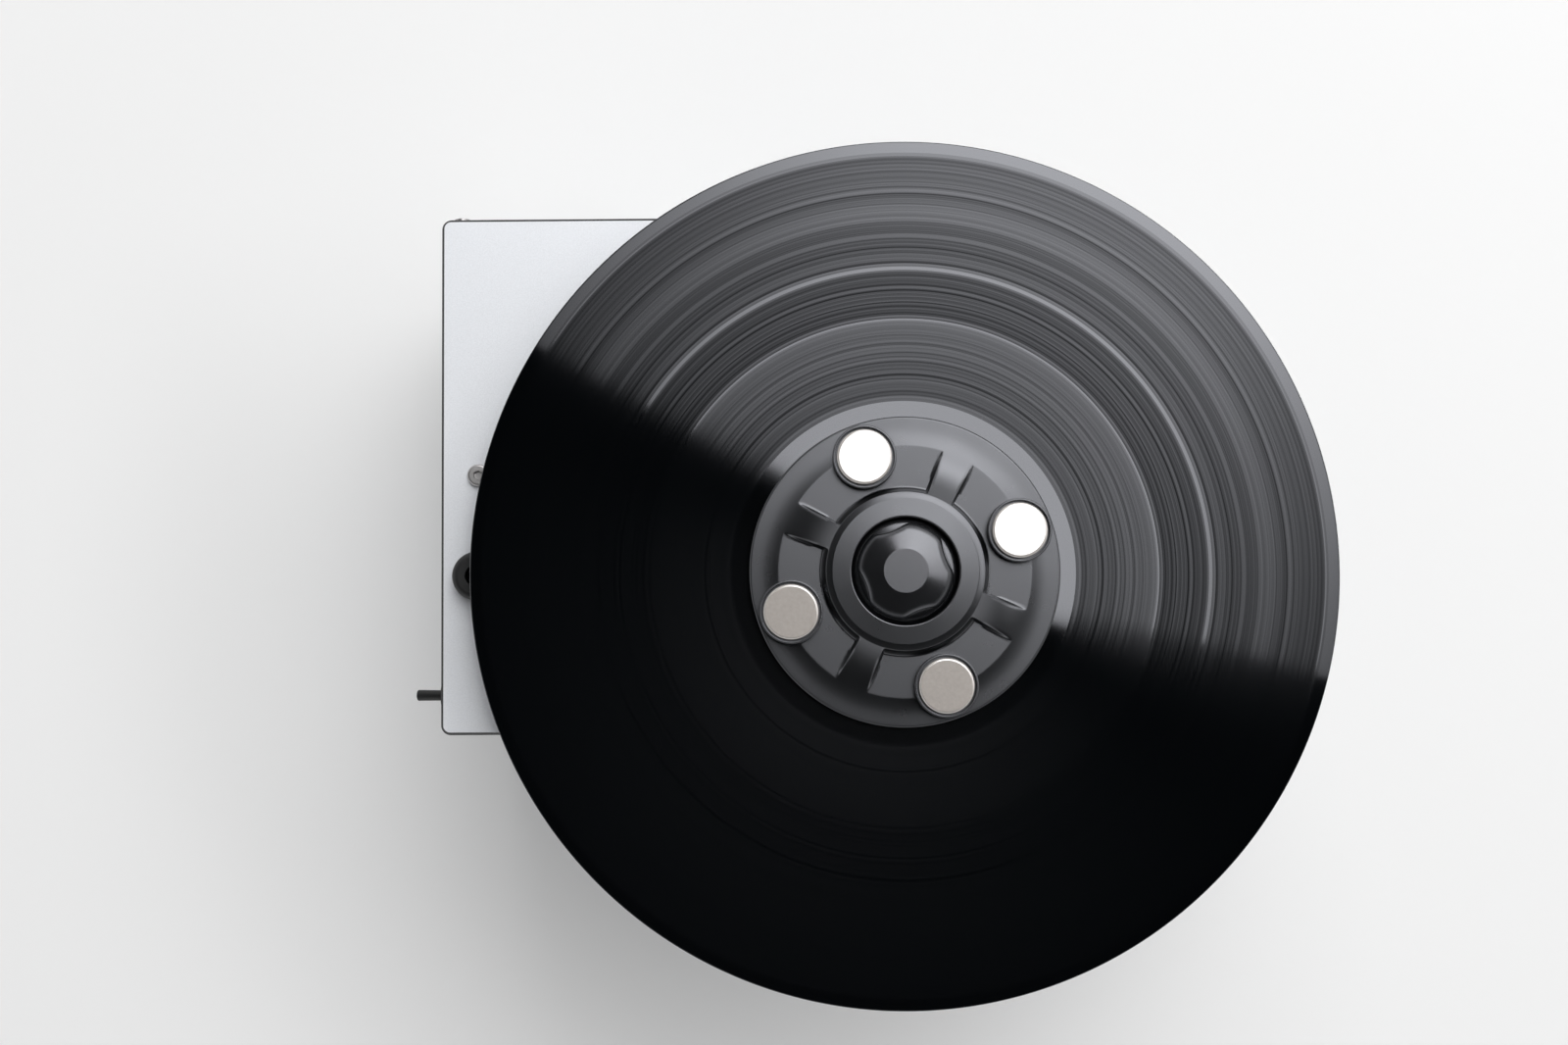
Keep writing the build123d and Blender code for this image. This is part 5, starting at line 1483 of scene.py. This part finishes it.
@dataclass
class RearServices:
    """The mains inlet, rocker switch, drain and fasteners, finished with broken edges."""

    fine_break: float = 0.12
    broad_break: float = 0.3

    def build(self, nodes: dict[str, bpy.types.Object]) -> None:
        """Finishes each piece on the body that carries it."""
        pieces = (
            ("power_inlet", Slot.BLACK_PLASTIC, self.broad_break, "chassis"),
            ("rocker_housing", Slot.BLACK_PLASTIC, self.broad_break, "chassis"),
            ("mains_rocker", Slot.GLOSS_BLACK, self.fine_break, "mains_rocker"),
            ("inlet_blades", Slot.NICKEL, self.fine_break, "chassis"),
            ("drain_fitting", Slot.BLACK_PLASTIC, self.broad_break, "chassis"),
            ("drain_plug", Slot.RUBBER, self.broad_break, "drain_plug"),
            ("switch_nuts", Slot.SCREW_STEEL, self.fine_break, "chassis"),
            ("m3_screws", Slot.SCREW_STEEL, self.fine_break, "chassis"),
            ("m4_screws", Slot.SCREW_STEEL, self.fine_break, "chassis"),
            ("corner_brackets", Slot.PLATED_STEEL, self.fine_break, "chassis"),
        )
        for name, slot, edge, body in pieces:
            wear(polished(nodes[name], PALETTE[slot], edge), body, slot, name)


@dataclass
class InnerWorks:
    """The drive, wet vacuum, tank and board inside the case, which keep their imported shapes."""

    def dress(self, nodes: dict[str, bpy.types.Object], record: dict[str, Any]) -> None:
        """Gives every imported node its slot's finish.

        Args:
            nodes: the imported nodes.
            record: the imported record, which names each node's slot.
        """
        for part in record["subparts"]:
            finish = PALETTE.get(Slot(part["material_slot"]), PALETTE[Slot.BLACK_PLASTIC])
            data = nodes[part["node"]].data
            data.materials.clear()
            data.materials.append(finish.material())
            LOG.info("%s is dressed in %s", part["node"], finish.name)


# ---- Studio ----
@dataclass
class Studio:
    """A pale floor, one broad soft light over the rear right, a bright horizon and the camera.

    Places are millimetres from the spindle's axis at the record's top face. The light's outline
    bounds a panel that hangs level. On it a beam runs out from near the axis, along light_azimuth,
    with a mild hot spot on its way and a plain bright zone far out.
    """

    focal_length: float = 50.0
    sensor_width: float = 36.0
    clip: Point = (0.01, 50.0)
    camera_place: tuple[float, float, float] = (-32.55, -21.1, 755.74)
    roll: float = -0.328
    pan: float = 0.691
    pitch: float = 2.921
    light_height: float = 3000.0
    light_outline: tuple[Point, ...] = (
        (-640.0, 575.0), (-492.0, 473.0), (-246.0, 342.0), (-93.0, 266.0), (394.0, -13.0), (596.0, -22.0),
        (838.0, -99.0), (2200.0, -420.0), (3300.0, -600.0), (3500.0, 2000.0), (2700.0, 3000.0),
        (1300.0, 3600.0), (-900.0, 3600.0),
    )
    light_radiance: float = 4.45
    light_azimuth: float = 68.0
    beam_middle: float = -115.0
    beam_half_width: float = 480.0
    beam_widening: float = 0.2
    beam_fall: Point = (0.35, 1.85)
    beam_end: Point = (1100.0, 2500.0)
    hot_radiance: float = 2.0
    hot_reach: float = 2000.0
    hot_size: Point = (1600.0, 1500.0)
    hot_fall: Point = (0.4, 1.0)
    far_light: float = 1.1
    far_start_end: Point = (1900.0, 2500.0)
    fill: float = 1.26
    overhead: float = 0.01
    dark_above: float = 35.0
    dark_fall: Point = (-0.12, 0.06)
    floor_radius: float = 4000.0
    floor_sides: int = 96
    floor_colour: str = "DBDBDB"
    floor_glow: float = 0.11

    def build(self) -> None:
        """Builds the camera, light, floor and world round the record."""
        middle = middle_of("record")
        origin = Vector((middle.x, middle.y, ends_of("record")[1].z))
        self.build_camera(origin)
        self.build_light(origin)
        self.build_floor()
        self.build_world()
        bpy.context.scene.view_settings.view_transform = "Standard"

    def build_camera(self, origin: Vector) -> None:
        """Places the camera, looking down."""
        lens = bpy.data.cameras.new("view_from_above")
        lens.lens, lens.sensor_width = self.focal_length, self.sensor_width
        lens.clip_start, lens.clip_end = self.clip
        camera = bpy.data.objects.new("view_from_above", lens)
        bpy.context.scene.collection.objects.link(camera)
        turn = (
            Matrix.Rotation(math.radians(self.roll), 4, "Z")
            @ Matrix.Rotation(math.radians(self.pan), 4, "Y")
            @ Matrix.Rotation(math.radians(self.pitch), 4, "X")
        )
        camera.matrix_world = Matrix.Translation((origin + Vector(self.camera_place)) * MM) @ turn
        bpy.context.scene.camera = camera

    def light_cloth(self, origin: Vector) -> bpy.types.Material:
        """Makes the light's cloth: a beam that widens outwards, a hot spot on it and a far zone.

        Args:
            origin: the spindle's axis at the record's top face, in millimetres.

        Returns:
            The material.
        """
        material = bpy.data.materials.new("light_cloth")
        tree = blank_tree(material)
        azimuth = math.radians(self.light_azimuth)
        aside = Vector((-math.sin(azimuth), math.cos(azimuth), 0.0)) * self.beam_middle
        place = add_node(tree, "ShaderNodeTexCoord").outputs["Object"]
        turned = add_node(
            tree, "ShaderNodeMapping", {"vector_type": "TEXTURE"}, Vector=place,
            Location=(origin + aside) * MM, Rotation=(0.0, 0.0, azimuth),
        )
        parts = add_node(tree, "ShaderNodeSeparateXYZ", Vector=turned.outputs["Vector"]).outputs
        width = add_node(
            tree, "ShaderNodeMath", {"operation": "MULTIPLY_ADD"}, in0=parts["X"],
            in1=self.beam_widening, in2=self.beam_half_width * MM,
        )
        share = add_node(
            tree, "ShaderNodeMath", {"operation": "DIVIDE"}, in0=parts["Y"], in1=width.outputs["Value"]
        )
        away = add_node(tree, "ShaderNodeMath", {"operation": "ABSOLUTE"}, in0=share.outputs["Value"])
        flat = add_node(tree, "ShaderNodeCombineXYZ", X=parts["X"], Y=parts["Y"]).outputs["Vector"]
        span = add_node(tree, "ShaderNodeVectorMath", {"operation": "LENGTH"}, in0=flat).outputs["Value"]
        offset = add_node(
            tree, "ShaderNodeVectorMath", {"operation": "SUBTRACT"}, in0=flat,
            in1=(self.hot_reach * MM, 0.0, 0.0),
        )
        spread = add_node(
            tree, "ShaderNodeVectorMath", {"operation": "DIVIDE"}, in0=offset.outputs["Vector"],
            in1=(self.hot_size[0] * MM, self.hot_size[1] * MM, 1.0),
        )
        from_hot = add_node(
            tree, "ShaderNodeVectorMath", {"operation": "LENGTH"}, in0=spread.outputs["Vector"]
        )
        in_metres = [tuple(end * MM for end in ends) for ends in (self.beam_end, self.far_start_end)]
        across, along, far, hot = (
            add_node(
                tree, "ShaderNodeMapRange", {"interpolation_type": "SMOOTHSTEP"}, Value=value,
                From_Min=limits[0], From_Max=limits[1], To_Min=near, To_Max=beyond,
            ).outputs["Result"]
            for value, limits, near, beyond in (
                (away.outputs["Value"], self.beam_fall, self.light_radiance, 0.0),
                (span, in_metres[0], 1.0, 0.0),
                (span, in_metres[1], 0.0, self.light_radiance * self.far_light),
                (from_hot.outputs["Value"], self.hot_fall, self.hot_radiance, 0.0),
            )
        )
        beam = add_node(tree, "ShaderNodeMath", {"operation": "MULTIPLY"}, in0=across, in1=along)
        broad = add_node(
            tree, "ShaderNodeMath", {"operation": "MAXIMUM"}, in0=beam.outputs["Value"], in1=far
        )
        level = add_node(tree, "ShaderNodeMath", in0=broad.outputs["Value"], in1=hot)
        light = add_node(tree, "ShaderNodeEmission", Strength=level.outputs["Value"])
        add_node(tree, "ShaderNodeOutputMaterial", Surface=light.outputs["Emission"])
        return material

    def build_light(self, origin: Vector) -> None:
        """Hangs the light panel, facing down, unseen by the camera."""
        mesh = bpy.data.meshes.new("light_panel")
        corners = [(origin + Vector((x, y, self.light_height))) * MM for x, y in self.light_outline]
        mesh.from_pydata(corners, [], [tuple(reversed(range(len(corners))))])
        mesh.materials.append(self.light_cloth(origin))
        panel = bpy.data.objects.new("light_panel", mesh)
        bpy.context.scene.collection.objects.link(panel)
        panel.visible_camera = False

    def build_floor(self) -> None:
        """Lays the round pale floor, a little lifted for the eye but not for the light it sheds."""
        mesh = bmesh.new()
        bmesh.ops.create_circle(
            mesh, cap_ends=True, radius=self.floor_radius * MM, segments=self.floor_sides
        )
        data = bpy.data.meshes.new("white_floor")
        mesh.to_mesh(data)
        mesh.free()
        material = bpy.data.materials.new("white_floor")
        tree = blank_tree(material)
        matt = add_node(tree, "ShaderNodeBsdfDiffuse", Color=linear(self.floor_colour))
        rays = add_node(tree, "ShaderNodeLightPath").outputs
        seen = add_node(tree, "ShaderNodeMath", in0=rays["Is Camera Ray"], in1=rays["Is Glossy Ray"])
        shown = add_node(
            tree, "ShaderNodeMath", {"use_clamp": True}, in0=seen.outputs["Value"],
            in1=rays["Is Transmission Ray"],
        )
        strength = add_node(
            tree, "ShaderNodeMath", {"operation": "MULTIPLY"}, in0=shown.outputs["Value"],
            in1=self.floor_glow,
        )
        glow = add_node(tree, "ShaderNodeEmission", Strength=strength.outputs["Value"])
        both = add_node(tree, "ShaderNodeAddShader", in0=matt.outputs["BSDF"], in1=glow.outputs["Emission"])
        add_node(tree, "ShaderNodeOutputMaterial", Surface=both.outputs["Shader"])
        data.materials.append(material)
        floor = bpy.data.objects.new("white_floor", data)
        bpy.context.scene.collection.objects.link(floor)

    def build_world(self) -> None:
        """Makes a world that is bright low down, dark overhead and white to the camera."""
        world = bpy.data.worlds.new("studio_room")
        tree = blank_tree(world)
        way = add_node(tree, "ShaderNodeTexCoord").outputs["Generated"]
        height = add_node(tree, "ShaderNodeSeparateXYZ", Vector=way).outputs["Z"]
        limit = math.sin(math.radians(self.dark_above))
        level = add_node(
            tree, "ShaderNodeMapRange", Value=height, From_Min=limit + self.dark_fall[0],
            From_Max=limit + self.dark_fall[1], To_Min=self.fill, To_Max=self.overhead,
        )
        seen = add_node(tree, "ShaderNodeLightPath").outputs["Is Camera Ray"]
        shown = add_node(
            tree, "ShaderNodeMath", {"operation": "MAXIMUM"}, in0=level.outputs["Result"], in1=seen
        )
        back = add_node(tree, "ShaderNodeBackground", Strength=shown.outputs["Value"])
        back.inputs["Color"].default_value = (1.0, 1.0, 1.0, 1.0)
        add_node(tree, "ShaderNodeOutputWorld", Surface=back.outputs["Background"])
        bpy.context.scene.world = world


def main() -> None:
    """Builds the studio and every sub-assembly in order."""
    logging.basicConfig(level=logging.INFO, format="%(name)s: %(message)s")
    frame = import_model()
    nodes = frame["nodes"]
    Studio().build()
    InnerWorks().dress(nodes, frame["record"])
    CaseShell().build(nodes)
    wrap_low, wrap_high = ends_of("side_wrap")
    panel_top = ends_of("top_skin")[1].z
    FootSet().build()
    SuctionSocket().build(panel_top)
    LidScrews().build(panel_top)
    ToggleSwitch("vacuum", Side.LEFT, tilt=-12.0).build(nodes, wrap_low.x)
    ToggleSwitch("direction", Side.RIGHT, tilt=0.0).build(nodes, wrap_high.x)
    RearServices().build(nodes)
    Platter().build(nodes)
    Record().build()
    Clamp().build()
    ClampKnob().build()


if __name__ == "__main__":
    main()
